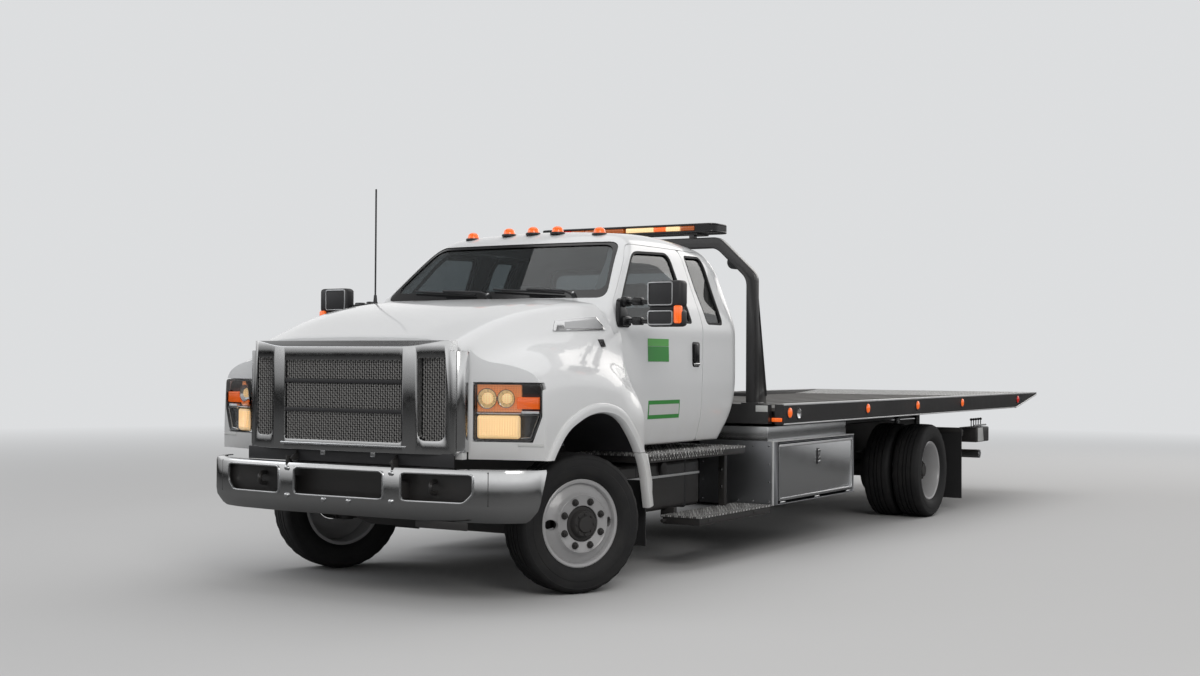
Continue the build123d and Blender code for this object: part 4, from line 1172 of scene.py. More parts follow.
def bowl(u, z, radius, steps=6):
    # a bowl open to the front, its profile along the lamp's own axis
    back, front = lamp["bowlDepth"]
    shares = [k / steps for k in range(steps + 1)]
    profile = [(back + (front - back) * share ** 2, radius * (0.12 + 0.88 * share)) for share in shares]
    profile += [(front, radius + 0.004), (back - 0.004, radius * 0.3), (back - 0.004, 0.0), (back, 0.0)]
    return turned(profile, onLamp(u, z, 0), lampView()[3], 36)


def lampBars(view, places, half, *rest):
    return [onView(view, u - half, u + half, *rest) for u in places]


def makeHeadlamps():
    view, depth = lampView(), lamp["depth"]
    outline = arcs(lamp["outline"], lamp["round"], 5)
    bezel = slab(outline, *depth["bezel"], view)
    cut(bezel, slab(arcs(lamp["opening"], 0.016, 4), *depth["opening"], view))
    dressBoth(soften(bezel, 0.003, 2, 35), "lampBezel", "blackGloss", "hood", "headlamps")
    bowls = [bowl(*beam) for beam in lamp["beams"]]
    back, radius = lamp["guide"]
    guide = tube([onLamp(*place, back) for place in lamp["edge"]], radius)
    bars = [soften(slab(lamp[k], *depth["bar"], view), 0.004, 2) for k in ("divider", "ledge")]
    dressBoth(join(*bowls, guide, *bars), "lampBowls", "chrome", "hood")
    back = slab(lamp["upper"], *depth["back"], view)
    dressBoth(join(back, *lampBars(view, lamp["ribs"], *lamp["rib"])), "lampWarmBack", "warmDim", "hood")
    low, high = depth["bulb"]
    share, *ends = lamp["bulb"]
    bulbs = [rod(onLamp(u, z, low), onLamp(u, z, high), r * share, *ends) for u, z, r in lamp["beams"]]
    panel = soften(slab(lamp["litPart"], *depth["lit"], view), 0.016, 3)
    flutes = lampBars(view, lamp["flutes"], *lamp["flute"])
    dressBoth(join(*bulbs, panel, *flutes), "lampLit", "warmLit", "hood")
    marker = soften(slab(lamp["marker"], *depth["marker"], view), 0.008, 3)
    dressBoth(marker, "lampMarker", "amberLit", "hood")
    cover = soften(slab(outline, *depth["cover"], view), 0.0025, 2)
    dressBoth(cover, "lampCover", "clear", "hood")
    # the strip under the lamp is painted light grey for the brightness it shows where it faces up: a painted
    # highlight
    strip = soften(slab(lamp["strip"], *depth["strip"], view), 0.003)
    dressBoth(strip, "lampStrip", "plate", "hood")


makeHeadlamps()
print("headlamps made")


# Bumper: a rolled chrome face bent round the front, with three openings
bumper = {
    "plan": [(1.217, -0.712), (1.196, -0.828), (1.090, -0.948), (0.900, -1.022), (0.430, -1.077)],
    "round": (0, 0.10, 0.14, 0.16, 0.30),
    "section": [
        (-0.050, 0.783), (-0.020, 0.783), (-0.006, 0.778), (0, 0.762), (0, 0.590), (-0.006, 0.550),
        (-0.040, 0.500), (-0.060, 0.484),
    ],
    "middle": [(-0.328, 0.600), (0.328, 0.600), (0.328, 0.748), (-0.328, 0.748)],
    "end": [(0.462, 0.600), (0.860, 0.600), (0.911, 0.650), (0.911, 0.748), (0.462, 0.748)],
    "ends": [(-0.716, 0.800), (-0.600, 0.800), (-0.600, 0.400), (-0.850, 0.400), (-0.806, 0.484)],
    "rim": 0.011,
    "sheet": 0.006,
    "bolts": [
        (-0.390, 0.746), (0.390, 0.746), (-0.106, 0.572), (0.081, 0.572), (-0.390, 0.585), (0.390, 0.585),
    ],
    "backs": [
        ((-1.000, 1.000), (-0.985, -0.970), (0.580, 0.770), 0.004),
        ((0.500, 0.860), (-0.990, -0.980), (0.440, 0.486), 0.003),
    ],
    "arms": [
        ((0.395, 0.455), (-1.060, -0.900), (0.600, 0.700), 0.006),
        ((0.390, 0.402), (-1.075, -1.025), (0.763, 0.818), 0.002),
    ],
    "through": (-1.2, -0.95),
    "rimSkin": (0.007, 0.012),
    "bolt": (-1.070, -1.085, 0.014, 20, 0.004),
    "pin": ((0.376, 0.404), -1.050, 0.803, 0.007),
    "hookWire": (0.013, 0.03),
    "hooks": (0.640, -0.640),
    "hook": [
        (0, -0.975, 0.640), (0, -1.035, 0.645), (0.02, -1.060, 0.680), (0, -1.030, 0.705), (0, -0.975, 0.705),
    ],
}


def bumperSkin(out, sheet):
    half = arcs(bumper["plan"] + [(0.0, -1.077)], bumper["round"] + (0,), 7, closed=False)
    path = half + mirrorX(half[:-1])
    rows = []
    for i, here in enumerate(path):
        ahead = (Vector(path[min(i + 1, len(path) - 1)]) - Vector(path[max(i - 1, 0)])).normalized()
        row = []
        for u, z in bumper["section"]:
            row.append((here[0] - ahead.y * (u + out), at(here[1] + ahead.x * (u + out)), z))
        rows.append(row)
    skin = loft(rows, ring=False)
    if skin.data.polygons[len(skin.data.polygons) // 2].normal.y > 0:
        edit(skin, (bpy.ops.mesh.flip_normals, {}))
    return modify(skin, "SOLIDIFY", thickness=sheet, offset=-1)


def makeBumper():
    face = bumperSkin(0, bumper["sheet"])
    holes = [arcs(bumper["middle"], 0.022, 5)]
    for _, side in sides:
        holes.append(arcs(onSide(bumper["end"][::side], side), 0.02, 5))
    for hole in holes:
        cut(face, slab(hole, *bumper["through"], frontView))
    cut(face, slab(bumper["ends"], -1.4, 1.4, sideView))
    dress(smooth(face, 40), "bumperFace", "chrome", "chassis", "front_bumper")
    proud = bumperSkin(*bumper["rimSkin"])
    rims = []
    for hole in holes:
        ring = slab(grown(hole, bumper["rim"]), *bumper["through"], frontView)
        cut(ring, slab(grown(hole, 0.001), -1.3, -0.90, frontView))
        rims.append(within(copyOf(proud), ring))
    bpy.data.objects.remove(proud)
    dress(soften(join(*rims), 0.0025, 2, 40), "bumperRims", "polished", "chassis")
    near, far, *size = bumper["bolt"]
    heads = [rod((x, at(near), z), (x, at(far), z), *size) for x, z in bumper["bolts"]]
    dress(join(*heads), "bumperBolts", "polished", "chassis")
    backs = blocks(bumper["backs"])
    (x0, x1), s, z, radius = bumper["pin"]
    for _, side in sides:
        backs += blocks(bumper["arms"], side)
        backs.append(rod((side * x0, at(s), z), (side * x1, at(s), z), radius))
    dress(join(*backs), "bumperArms", "chassisBlack", "chassis")
    hooks = []
    for middle in bumper["hooks"]:
        hooks.append(tube([(middle + x, at(s), z) for x, s, z in bumper["hook"]], *bumper["hookWire"]))
    dress(join(*hooks), "towHooks", "chassisBlack", "chassis")


makeBumper()
print("bumper made")


# Wheels: tyre with ribs and shoulder lugs, dished disc with hand holes, nuts and hub
wheel = {
    "tyre": [
        (0.078, 0.247), (0.087, 0.262), (0.111, 0.283), (0.1205, 0.305), (0.1235, 0.330), (0.1235, 0.342),
        (0.1215, 0.345), (0.1220, 0.368), (0.1190, 0.385), (0.1200, 0.388), (0.1150, 0.401), (0.1060, 0.410),
        (0.0960, 0.4150), (0.0640, 0.4178), (0.0620, 0.4060), (0.0540, 0.4060), (0.0520, 0.4182),
        (0.0210, 0.4188), (0.0190, 0.4065), (0.0110, 0.4065), (0.0090, 0.4190),
    ],
    "steps": 96,
    "lug": 0.0035,
    "rim": [
        (-0.095, 0.258), (-0.093, 0.264), (-0.087, 0.262), (-0.080, 0.247), (-0.045, 0.247), (-0.030, 0.243),
        (0.030, 0.243), (0.045, 0.247), (0.080, 0.247), (0.087, 0.262), (0.093, 0.264), (0.096, 0.258),
        (0.092, 0.244), (0.080, 0.238), (-0.080, 0.238), (-0.092, 0.244),
    ],
    "disc": [
        (0.050, 0.236), (0.066, 0.2385), (0.070, 0.229), (0.098, 0.194), (0.108, 0.180), (0.1195, 0.175),
        (0.1220, 0.171), (0.1195, 0.167), (0.1170, 0.164), (0.1170, 0.113), (0.1140, 0.108), (0.1030, 0.108),
        (0.1030, 0.163), (0.094, 0.180), (0.084, 0.192), (0.054, 0.226),
    ],
    "hub": [
        (0.020, 0.040), (0.020, 0.100), (0.108, 0.104), (0.112, 0.100), (0.112, 0.082), (0.140, 0.076),
        (0.146, 0.070), (0.146, 0.052), (0.158, 0.046), (0.160, 0.000), (0.020, 0.000),
    ],
    "handHoles": (2, 0.203, 0.031),
    "nuts": (8, 0.1375, 0.0165),
    "rearHub": [
        (-0.110, 0.0), (-0.110, 0.098), (0.010, 0.090), (0.016, 0.084), (0.016, 0.060), (0.040, 0.052),
        (0.044, 0.0),
    ],
    "height": 0.419,
    "steer": -25.9,
    "kingpin": (0.842, 0.135),  # its place across, and from there out to the wheel's middle
    "rearAxle": 5.678,
    "rearPair": (1.100, 0.827),
}


def onAxle(obj, centre, axle):
    # from the wheel's own place, with its axle along X, to its place on the truck
    only(obj)
    obj.rotation_euler = Vector(axle).to_track_quat("X", "Z").to_euler()
    obj.location = centre
    return settle(obj)


def tyreShape():
    half = wheel["tyre"]
    profile = half + mirrorX(half)
    obj = turned(profile, (0, 0, 0), (1, 0, 0), wheel["steps"])
    for vertex in obj.data.vertices:
        radius = math.hypot(vertex.co.y, vertex.co.z)
        step = round(math.atan2(vertex.co.z, vertex.co.y) / (2 * math.pi) * wheel["steps"])
        if step % 3 == 0 and radius > 0.400 and abs(vertex.co.x) > 0.09:
            scale = (radius - wheel["lug"]) / radius
            vertex.co.y *= scale
            vertex.co.z *= scale
    return smooth(obj, 28)


def rimShape(outwards=1):
    rimRing = turned(wheel["rim"], (0, 0, 0), (1, 0, 0), 72)
    disc = turned(onSide(wheel["disc"], outwards), (0, 0, 0), (1, 0, 0), 72)
    count, circle, radius = wheel["handHoles"]
    for y, z in around(count, circle):
        cut(disc, rod((-0.3, y, z), (0.3, y, z), radius, 28))
    return smooth(join(rimRing, disc), 40)


def nutShape(face, outwards=1):
    made = []
    count, circle, radius = wheel["nuts"]
    for y, z in around(count, circle, 0.5):
        made.append(rod((face, y, z), (face + outwards * 0.022, y, z), radius, 6, 0.003))
        made.append(rod((face, y, z), (face + outwards * 0.032, y, z), radius * 0.5, 12, 0.002))
        made.append(rod((face, y, z), (face + outwards * 0.004, y, z), radius * 1.35, 20, 0.001))
    return join(*made)


def hubShape(outwards=1):
    hub = turned(onSide(wheel["hub"], outwards), (0, 0, 0), (1, 0, 0), 48)
    near, far = outwards * 0.140, outwards * 0.154
    bolts = [rod((near, y, z), (far, y, z), 0.0075, 6, 0.001) for y, z in around(8, 0.061)]
    return join(hub, *bolts)


def rearHubShape():
    flange = turned(wheel["rearHub"], (0, 0, 0), (1, 0, 0), 48)
    bolts = [rod((0.014, y, z), (0.028, y, z), 0.008, 6, 0.001) for y, z in around(8, 0.072)]
    return join(flange, *bolts)


def makeWheels():
    steer = math.radians(wheel["steer"])
    kingpin, reach = wheel["kingpin"]
    high, rearAxle = wheel["height"], at(wheel["rearAxle"])
    tyreModel, rimModel, innerModel = tyreShape(), rimShape(), rimShape(-1)
    nutModel, rearNutModel = nutShape(0.117), nutShape(-0.103)
    hubModel, rearHubModel = hubShape(), rearHubShape()
    for name, side in sides:
        axle = Vector((side * math.cos(steer), side * math.sin(steer), 0))
        centre = Vector((side * kingpin, frontAxle, high)) + axle * reach
        body = f"front_wheel_{name}"
        for model, part, finish, hidden in (
            (tyreModel, "frontTyre", "tyre", [f"front_tyre_{name}"]),
            (rimModel, "frontRim", "wheelSilver", [body]),
            (nutModel, "frontNuts", "cast", []),
            (hubModel, "frontHub", "cast", []),
        ):
            dress(onAxle(copyOf(model), centre, axle), part + name.title(), finish, body, *hidden)
        outer, inner = (Vector((side * x, rearAxle, high)) for x in wheel["rearPair"])
        body, axle = f"rear_wheels_{name}", (side, 0, 0)
        tyres = [onAxle(copyOf(tyreModel), place, axle) for place in (outer, inner)]
        dress(join(*tyres), f"rearTyres{name.title()}", "tyre", body, f"rear_tyres_{name}")
        rims = [onAxle(copyOf(innerModel), outer, axle), onAxle(copyOf(rimModel), inner, axle)]
        dress(join(*rims), f"rearRims{name.title()}", "wheelSilver", body, body)
        for model, part in ((rearNutModel, "rearNuts"), (rearHubModel, "rearHub")):
            dress(onAxle(copyOf(model), outer, axle), part + name.title(), "cast", body)
    for model in (tyreModel, rimModel, innerModel, nutModel, rearNutModel, hubModel, rearHubModel):
        bpy.data.objects.remove(model)


makeWheels()
print("wheels made")


# Door furniture: mirrors, handles, signs without words, wipers
mirror = {
    "shells": [
        ((1.206, 1.449), (0.405, 0.500), (1.722, 1.888), 0.024),
        ((1.206, 1.449), (0.405, 0.500), (1.602, 1.712), 0.024),
        ((1.222, 1.436), (0.420, 0.488), (1.704, 1.730)),
    ],
    "glasses": [
        ((1.218, 1.437), (0.497, 0.5035), (1.735, 1.876), 0.002),
        ((1.218, 1.437), (0.497, 0.5035), (1.614, 1.700), 0.002),
    ],
    "frames": [(1.214, 1.392, 1.733, 1.880), (1.214, 1.392, 1.612, 1.703)],
    "signal": ((1.398, 1.446), (0.396, 0.440), (1.622, 1.733), 0.012),
    "frame": (0.402, 0.408),
    "frameWide": 0.008,
    "arms": (1.763, 1.640),
    "arm": [(0.985, 0.470, 0), (1.080, 0.455, 0), (1.215, 0.455, -0.005)],
    "armSize": (0.015, 0.04),
    "clamps": [
        ((1.085, 1.150), (0.430, 0.480), (-0.026, 0.024), 0.009),
        ((1.005, 1.045), (0.425, 0.505), (-0.030, 0.030), 0.010),
    ],
    "base": [(0.402, 1.600), (0.530, 1.600), (0.530, 1.660), (0.440, 1.790), (0.402, 1.770)],
    "baseX": (0.985, 1.018),
}
signs = [
    ("signGreen", "green", 0.0012, [((0.769, 1.050), (1.387, 1.486)), ((0.774, 1.200), (1.014, 1.134))]),
    ("signPale", "greenPale", 0.0012, [((0.769, 1.050), (1.488, 1.536))]),
    ("signWhite", "plate", 0.0020, [((0.785, 1.190), (1.040, 1.108))]),
]
handle = {
    "plate": [(1.383, 1.352), (1.488, 1.352), (1.488, 1.523), (1.383, 1.523)],
    "grip": ((1.014, 1.040), (1.396, 1.428), (1.384, 1.508), 0.009),
    "key": ((1.014, 1.030), (1.396, 1.474), (1.360, 1.380), 0.006),
    "plateX": (1.004, 1.0185),
    "marker": ((1.010, 1.0225), 0.464, 1.239, 0.013),
}


def wallAt(s, z):
    # how far out the cab's side is
    low, high = 0.6, 1.2
    for _ in range(20):
        x = (low + high) / 2
        if cabField(x, s, z) < 0:
            low = x
        else:
            high = x
    return low


def onDoor(stations, heights, out, thickness=0.0012, steps=8):
    # a thin sheet on the door
    rows = []
    for j in range(steps + 1):
        z = heights[0] + (heights[1] - heights[0]) * j / steps
        places = [stations[0] + (stations[1] - stations[0]) * i / steps for i in range(steps + 1)]
        rows.append([(wallAt(s, z) + out, at(s), z) for s in places])
    return modify(loft(rows, ring=False), "SOLIDIFY", thickness=thickness, offset=0)


def makeSigns():
    body = "front_door_{}"
    for name, finish, proud, patches in signs:
        sheets = [onDoor(stations, heights, proud) for stations, heights in patches]
        dressBoth(join(*sheets), name, finish, body)


def makeDoorFurniture():
    body = "front_door_{}"
    dressBoth(join(*blocks(mirror["shells"])), "mirrorShell", "blackPlastic", body, "mirror_{}")
    frames = []
    for x0, x1, z0, z1 in mirror["frames"]:
        outline = arcs([(x0, z0), (x1, z0), (x1, z1), (x0, z1)], 0.02, 4)
        ring = slab(outline, *mirror["frame"], frontView)
        frames.append(cut(ring, slab(grown(outline, -mirror["frameWide"]), 0.3, 0.5, frontView)))
    dressBoth(soften(join(*frames), 0.0015), "mirrorFrames", "brushed", body)
    dressBoth(join(*blocks(mirror["glasses"])), "mirrorGlass", "chrome", body)
    dressBoth(block(*mirror["signal"]), "mirrorSignal", "amberLit", body)
    arms = []
    for z in mirror["arms"]:
        path = [(x, at(s), z + rise) for x, s, rise in mirror["arm"]]
        arms.append(tube(path, *mirror["armSize"]))
        for x, stations, (low, high), soft in mirror["clamps"]:
            arms.append(block(x, stations, (z + low, z + high), soft))
    base = slab(arcs(mirror["base"], 0.02, 4), *mirror["baseX"], sideView)
    dressBoth(join(*arms, soften(base, 0.006)), "mirrorArms", "blackGloss", body)
    plate = soften(slab(arcs(handle["plate"], 0.025, 5), *handle["plateX"], sideView), 0.003)
    dressBoth(join(plate, block(*handle["grip"])), "doorHandle", "blackGloss", body)
    dressBoth(block(*handle["key"]), "doorHandleKey", "chrome", body)
    (low, high), s, z, radius = handle["marker"]
    marker = rod((low, at(s), z), (high, at(s), z), radius, 24, 0.004)
    dressBoth(marker, "doorMarker", "red", body)


def onScreen(x, z, lift):
    # a point on the windshield, raised from the glass
    s, run, rise = onSlope(x, z)
    slant = math.hypot(run, rise)
    return (x, at(s) - rise / slant * lift, z + run / slant * lift)


wiper = {
    "arms": ((0.02, -0.66, -0.10), (0.66, 0.02, 0.58)),  # each pivot, tip and heel across the truck
    "z": (1.800, 1.862),
    "blade": 0.0065,
}


def makeWipers():
    low, high = wiper["z"]
    parts, glints = [], []
    for pivot, tip, heel in wiper["arms"]:
        line = [(tip + (heel - tip) * k / 6, high - 0.012 + (low + 0.028 - high) * k / 6) for k in range(7)]
        parts.append(tube([onScreen(x, z, 0.010) for x, z in line], wiper["blade"], 0.0, 8))
        elbow = onScreen(pivot - 0.06, low + 0.012, 0.034)
        parts.append(tube([onScreen(pivot, low, 0.012), elbow, onScreen(*line[3], 0.026)], 0.008, 0.03))
        parts.append(rod(onScreen(pivot, low, -0.005), onScreen(pivot, low, 0.030), 0.016, 20, 0.003))
        glints.append(rod(onScreen(pivot, low, 0.030), onScreen(pivot, low, 0.036), 0.010, 16, 0.002))
    dress(join(*parts), "wipers", "blackPlastic", "chassis")
    dress(join(*glints), "wiperCaps", "chrome", "chassis")


makeDoorFurniture()
makeSigns()
makeWipers()
print("door furniture and wipers made")


# Roof: marker lamps, light bar and the whip's foot
roof = {
    "lamps": [
        (0, 0.950, 2.262), (0.200, 0.950, 2.259), (-0.200, 0.950, 2.259), (0.522, 0.970, 2.242),
        (-0.522, 0.970, 2.242),
    ],
    "dome": [
        (0.0, 0.0), (0.047, 0.0), (0.045, 0.012), (0.040, 0.024), (0.030, 0.036), (0.012, 0.040),
        (0.006, 0.041), (0.0, 0.041),
    ],
    "foot": [(0.0, 0.0), (0.0, 0.052), (0.010, 0.052), (0.014, 0.048), (0.014, 0.0)],
    "whip": (-0.900, 0.352, 1.755),
    "whipFoot": [(0.0, 0.0), (0.0, 0.026), (0.012, 0.026), (0.030, 0.014), (0.075, 0.010), (0.082, 0.0)],
    "bar": (2.192, 2.448),
    "barRound": 0.07,
    "sheet": 0.016,
    "core": (0.03, 0.05, 0.01),  # how far it keeps inside
    "endGap": 0.014,
    "module": (0.002, 0.060, 0.017),
    "barHalf": 0.762,
    "barEnd": (0.602, 0.800),
    "barZ": (2.342, 2.410),
    "modules": [
        (-0.596, -0.480, "red"), (-0.476, -0.356, "amber"), (-0.352, -0.250, "amber"),
        (-0.246, -0.013, "amber"), (0.013, 0.250, "warmLit"), (0.254, 0.352, "amberLit"),
        (0.356, 0.476, "warmLit"), (0.480, 0.596, "amber"),
    ],
}


def makeRoof():
    domes, feet = [], []
    up = (0, 0, 1)
    for x, s, z in roof["lamps"]:
        feet.append(turned(roof["foot"], (x, at(s), z - 0.006), up, 32))
        domes.append(turned(roof["dome"], (x, at(s), z + 0.004), up, 32))
    dress(join(*domes), "roofLampDomes", "amberLit", "chassis", "roof_lamps")
    dress(join(*feet), "roofLampFeet", "blackPlastic", "chassis")
    x, s, z = roof["whip"]
    dress(turned(roof["whipFoot"], (x, at(s), z), up, 24), "antennaFoot", "blackPlastic", "chassis")
    front, back = roof["bar"]
    half = roof["barHalf"]
    low, high = roof["barZ"]
    plan = arcs([(-half, front), (half, front), (half, back), (-half, back)], roof["barRound"], 6)
    tray = soften(slab(plan, low, low + roof["sheet"], planView), 0.004)
    lid = soften(slab(plan, high - roof["sheet"], high, planView), 0.006)
    aside, along, rise = roof["core"]
    core = block((-half + aside, half - aside), (front + along, back - along), (low + rise, high - rise))
    ends = []
    for _, side in sides:
        box = blocks([(roof["barEnd"], (front - along, back + along), (low, high))], side)[0]
        ends.append(within(slab(plan, low + roof["endGap"], high - roof["endGap"], planView), box))
    dress(join(tray, lid, core, *ends), "lightBarBody", "blackGloss", "deck", "light_bar")
    lit = {}
    near, far, gap = roof["module"]
    for x0, x1, finish in roof["modules"]:
        for stations in ((front + near, front + far), (back - far, back - near)):
            module = block((x0, x1), stations, (low + gap, high - gap), 0.006)
            lit.setdefault(finish, []).append(module)
    for finish, parts in lit.items():
        slot = "red_lens" if finish == "red" else "amber_lens"
        dress(join(*parts), f"lightBar{finish.title()}", finish, "deck", slot=slot)


makeRoof()
print("roof lamps and light bar made")


# Arch behind the cab
archway = {
    "outer": [(1.090, 1.082), (1.090, 2.026), (0.789, 2.305)],
    "inner": [(1.010, 1.082), (1.010, 1.994), (0.761, 2.225)],
    "round": (0, 0.05, 0.05),
    "stations": (2.220, 2.280),
    "gusset": [(2.276, 1.085), (2.276, 1.950), (2.312, 1.950), (2.480, 1.140), (2.480, 1.085)],
    "gussetX": (1.045, 1.055),
    "rib": [(1.050, 2.312, 1.950), (1.050, 2.480, 1.140)],
    "bar": ((-1.012, 1.012), (2.238, 2.262), (1.140, 1.165), 0.004),
    "brackets": [
        ((0.540, 0.580), (2.222, 2.278), (2.296, 2.330), 0.004),
        ((0.505, 0.615), (2.215, 2.400), (2.328, 2.343), 0.004),
        ((0.980, 1.120), (2.208, 2.300), (1.083, 1.096), 0.003),
    ],
    "lamp": (0.880, 2.296, 2.120),
    "lampBody": (-0.030, 0.045, 0.050, 32, 0.010),
    "lampLens": (0.040, 0.050, 0.043, 32, 0.004),
}


def makeArch():
    corners = archway["round"] + archway["round"][::-1]
    outer, inner = (arcs(archway[k] + mirrorX(archway[k]), corners, 6) for k in ("outer", "inner"))
    hoop = soften(slab(outer + inner[::-1], *archway["stations"], frontView), 0.010, 3, 40)
    parts = [hoop, block(*archway["bar"])]
    lamps, lenses = [], []
    for _, side in sides:
        x0, x1 = archway["gussetX"]
        parts.append(soften(slab(archway["gusset"], side * x0, side * x1, sideView), 0.002))
        parts.append(tube([(side * x, at(s), z) for x, s, z in archway["rib"]], 0.011))
        parts += blocks(archway["brackets"], side)
        x, s, z = archway["lamp"]
        for made, part in ((lamps, "lampBody"), (lenses, "lampLens")):
            near, far, *size = archway[part]
            made.append(rod((side * x, at(s) + near, z), (side * x, at(s) + far, z), *size))
    dress(join(*parts), "archFrame", "deckBlack", "deck", "deck_arch", "deck_arch_top")
    dress(join(*lamps), "workLamps", "blackPlastic", "deck")
    dress(join(*lenses), "workLampLenses", "clear", "deck")


makeArch()
print("arch made")


# Cab inside: dashboard, steering wheel and padded seats
dash = {
    "outline": [
        (0.392, 1.150), (0.392, 1.690), (0.640, 1.690), (0.760, 1.600), (0.700, 1.250), (0.560, 1.150),
    ],
    "half": 0.860,
    "blocks": [
        ((0.240, 0.620), (0.600, 0.760), (1.640, 1.712), 0.024),
        ((-0.130, 0.150), (0.560, 0.900), (1.020, 1.330), 0.020),
        ((-0.150, 0.150), (0.560, 1.900), (0.930, 1.040), 0.030),
    ],
    "boss": [(-0.040, 0.0), (-0.040, 0.030), (-0.010, 0.055), (0.008, 0.052), (0.016, 0.030), (0.018, 0.0)],
    "spokes": ((1, -0.12), (-1, -0.12), (0, -1)),
    "wheel": ((0.430, 0.815, 1.508), (0, 0.893, 0.450), 0.190, 0.0145),
}


def makeDashboard():
    pad = soften(slab(arcs(dash["outline"], 0.04, 4), -dash["half"], dash["half"], sideView), 0.012, 3)
    dress(join(pad, *blocks(dash["blocks"])), "dashPad", "greyPlastic", "chassis", "dashboard")
    (x, s, z), axle, radius, thick = dash["wheel"]
    middle, axis = Vector((x, at(s), z)), Vector(axle)
    ring = [(v, radius + u) for u, v in around(12, thick)]
    parts = [turned(ring, middle, axis, 56), turned(dash["boss"], middle, axis, 32)]
    level = Vector((1, 0, 0))
    upright = axis.cross(level).normalized()
    for across, up in dash["spokes"]:
        tip = middle + (level * across + upright * up).normalized() * (radius - 0.004)
        parts.append(tube([middle, tip], 0.011))
    parts.append(rod(middle - axis.normalized() * 0.22, middle - axis.normalized() * 0.03, 0.028))
    dress(join(*parts), "steeringWheel", "blackPlastic", "chassis")


padding = {
    "crown": 0.020,
    "pull": 0.008,
    "round": 0.045,
    "channel": 0.011,
    "seam": (-0.35, 0.09, 0.006),  # its height, width and depth
}


def cushion(half, channels=(), cuts=26):
    # a pad about the origin: crowned faces, sides drawn in between the corners, a seam round its edge
    obj = added(bpy.ops.mesh.primitive_cube_add, size=2)
    edit(obj, (bpy.ops.mesh.subdivide, {"number_cuts": cuts}))
    crown, pull, channelWidth = padding["crown"], padding["pull"], padding["channel"]
    seamAt, seamWidth, seamDepth = padding["seam"]
    size = Vector(half)
    r = min(padding["round"], min(half) * 0.95)
    for vertex in obj.data.vertices:
        u, v, w = vertex.co
        place = vertex.co * size
        core = Vector([max(-(size[i] - r), min(size[i] - r, place[i])) for i in range(3)])
        away = place - core
        if away.length > r:
            place = core + away.normalized() * r
        place.z += crown * (1 - u * u) * (1 - v * v) * (1 if w > 0 else -0.4) * abs(w)
        place.x -= pull * u * (1 - v * v)
        place.y -= pull * v * (1 - u * u)
        for channel in channels if w > 0.5 else ():
            place.z -= channelWidth * math.exp(-((place.x - channel) / channelWidth) ** 2)
        place -= away.normalized() * seamDepth * math.exp(-((w - seamAt) / seamWidth) ** 2)
        vertex.co = place
    modify(obj, "SUBSURF", levels=1, render_levels=1)
    return smooth(outward(obj), 60)


def placed(obj, centre, lean=0.0):
    only(obj)
    obj.rotation_euler = (math.radians(lean), 0, 0)
    obj.location = (centre[0], at(centre[1]), centre[2])
    return settle(obj)


seating = {
    "x": 0.420,
    "channels": (-0.150, 0.150),
    "base": ((0.255, 0.250, 0.085), (1.150, 1.160), 0, 24),
    "back": ((0.250, 0.270, 0.070), (1.480, 1.500), 78, 24),
    "head": ((0.125, 0.085, 0.048), (1.575, 1.860), 80, 16),
    "post": ((1.555, 1.740), (1.570, 1.800), 0.05),
    "plinth": ((-0.220, 0.220), (0.930, 1.380), (0.942, 1.075), 0.012),
    "shell": ((-0.235, 0.235), (1.520, 1.560), (1.150, 1.700), 0.020),
    "benchChannels": (-0.25, 0.25),
    "bench": ((0.740, 0.150, 0.080), (1.840, 1.110), 0, 32),
    "benchBack": ((0.740, 0.205, 0.045), (2.035, 1.400), 82, 32),
}


def makePad(name, part, x, channels, *replaced):
    half, (s, z), lean, cuts = seating[part]
    pad = placed(cushion(half, channels, cuts), (x, s, z), lean)
    dress(pad, name, "cloth", "chassis", *replaced)


def makeSeats():
    (s0, z0), (s1, z1), apart = seating["post"]
    for name, side in sides:
        x = side * seating["x"]
        for part in ("base", "back", "head"):
            channels = seating["channels"] if part != "head" else ()
            replaced = ("seats",) if (name, part) == ("left", "base") else ()
            makePad(f"seat{part.title()}{name.title()}", part, x, channels, *replaced)
        posts = [rod((x + d, at(s0), z0), (x + d, at(s1), z1), 0.007) for d in (-apart, apart)]
        dress(join(*posts), f"headrestPosts{name.title()}", "chrome", "chassis")
        rows = (seating["plinth"], seating["shell"])
        hard = [block((x + low, x + high), *rest) for (low, high), *rest in rows]
        dress(join(*hard), f"seatPlinth{name.title()}", "greyPlastic", "chassis")
    for part in ("bench", "benchBack"):
        makePad(f"rear{part.title()}", part, 0, seating["benchChannels"])


makeDashboard()
makeSeats()
print("cab inside made")


# Steps: toothed tread planks on their brackets
steps = {
    "upper": ((0.560, 1.100), (0.629, 2.059), (0.738, 0.797)),
    "lower": ((0.900, 1.200), (1.167, 2.280), (0.302, 0.366)),
    "plank": 0.016,
    "tooth": (0.028, 0.009),
    "stud": (0.036, 0.0075, 0.004),
    "teeth": ((1.088, 0.700, 0.758), (30, 0.034), (2, 0.016)),  # first place, then number and step each way
    "bolts": (0.930, 1.990, (0.50, 0.62)),
    "brackets": [
        ((0.905, 0.955), (2.000, 2.040), (0.350, 0.742), 0.003),
        ((0.860, 1.190), (1.995, 2.045), (0.318, 0.340), 0.003),
        ((0.860, 1.190), (1.295, 1.345), (0.318, 0.340), 0.003),
        ((0.820, 0.925), (1.300, 1.340), (0.330, 0.400), 0.003),
        ((0.465, 0.600), (0.700, 0.760), (0.742, 0.780), 0.003),
        ((0.465, 0.600), (1.950, 2.010), (0.742, 0.780), 0.003),
    ],
    "stub": ((1.172, 1.120), 0.325, 0.012),
}


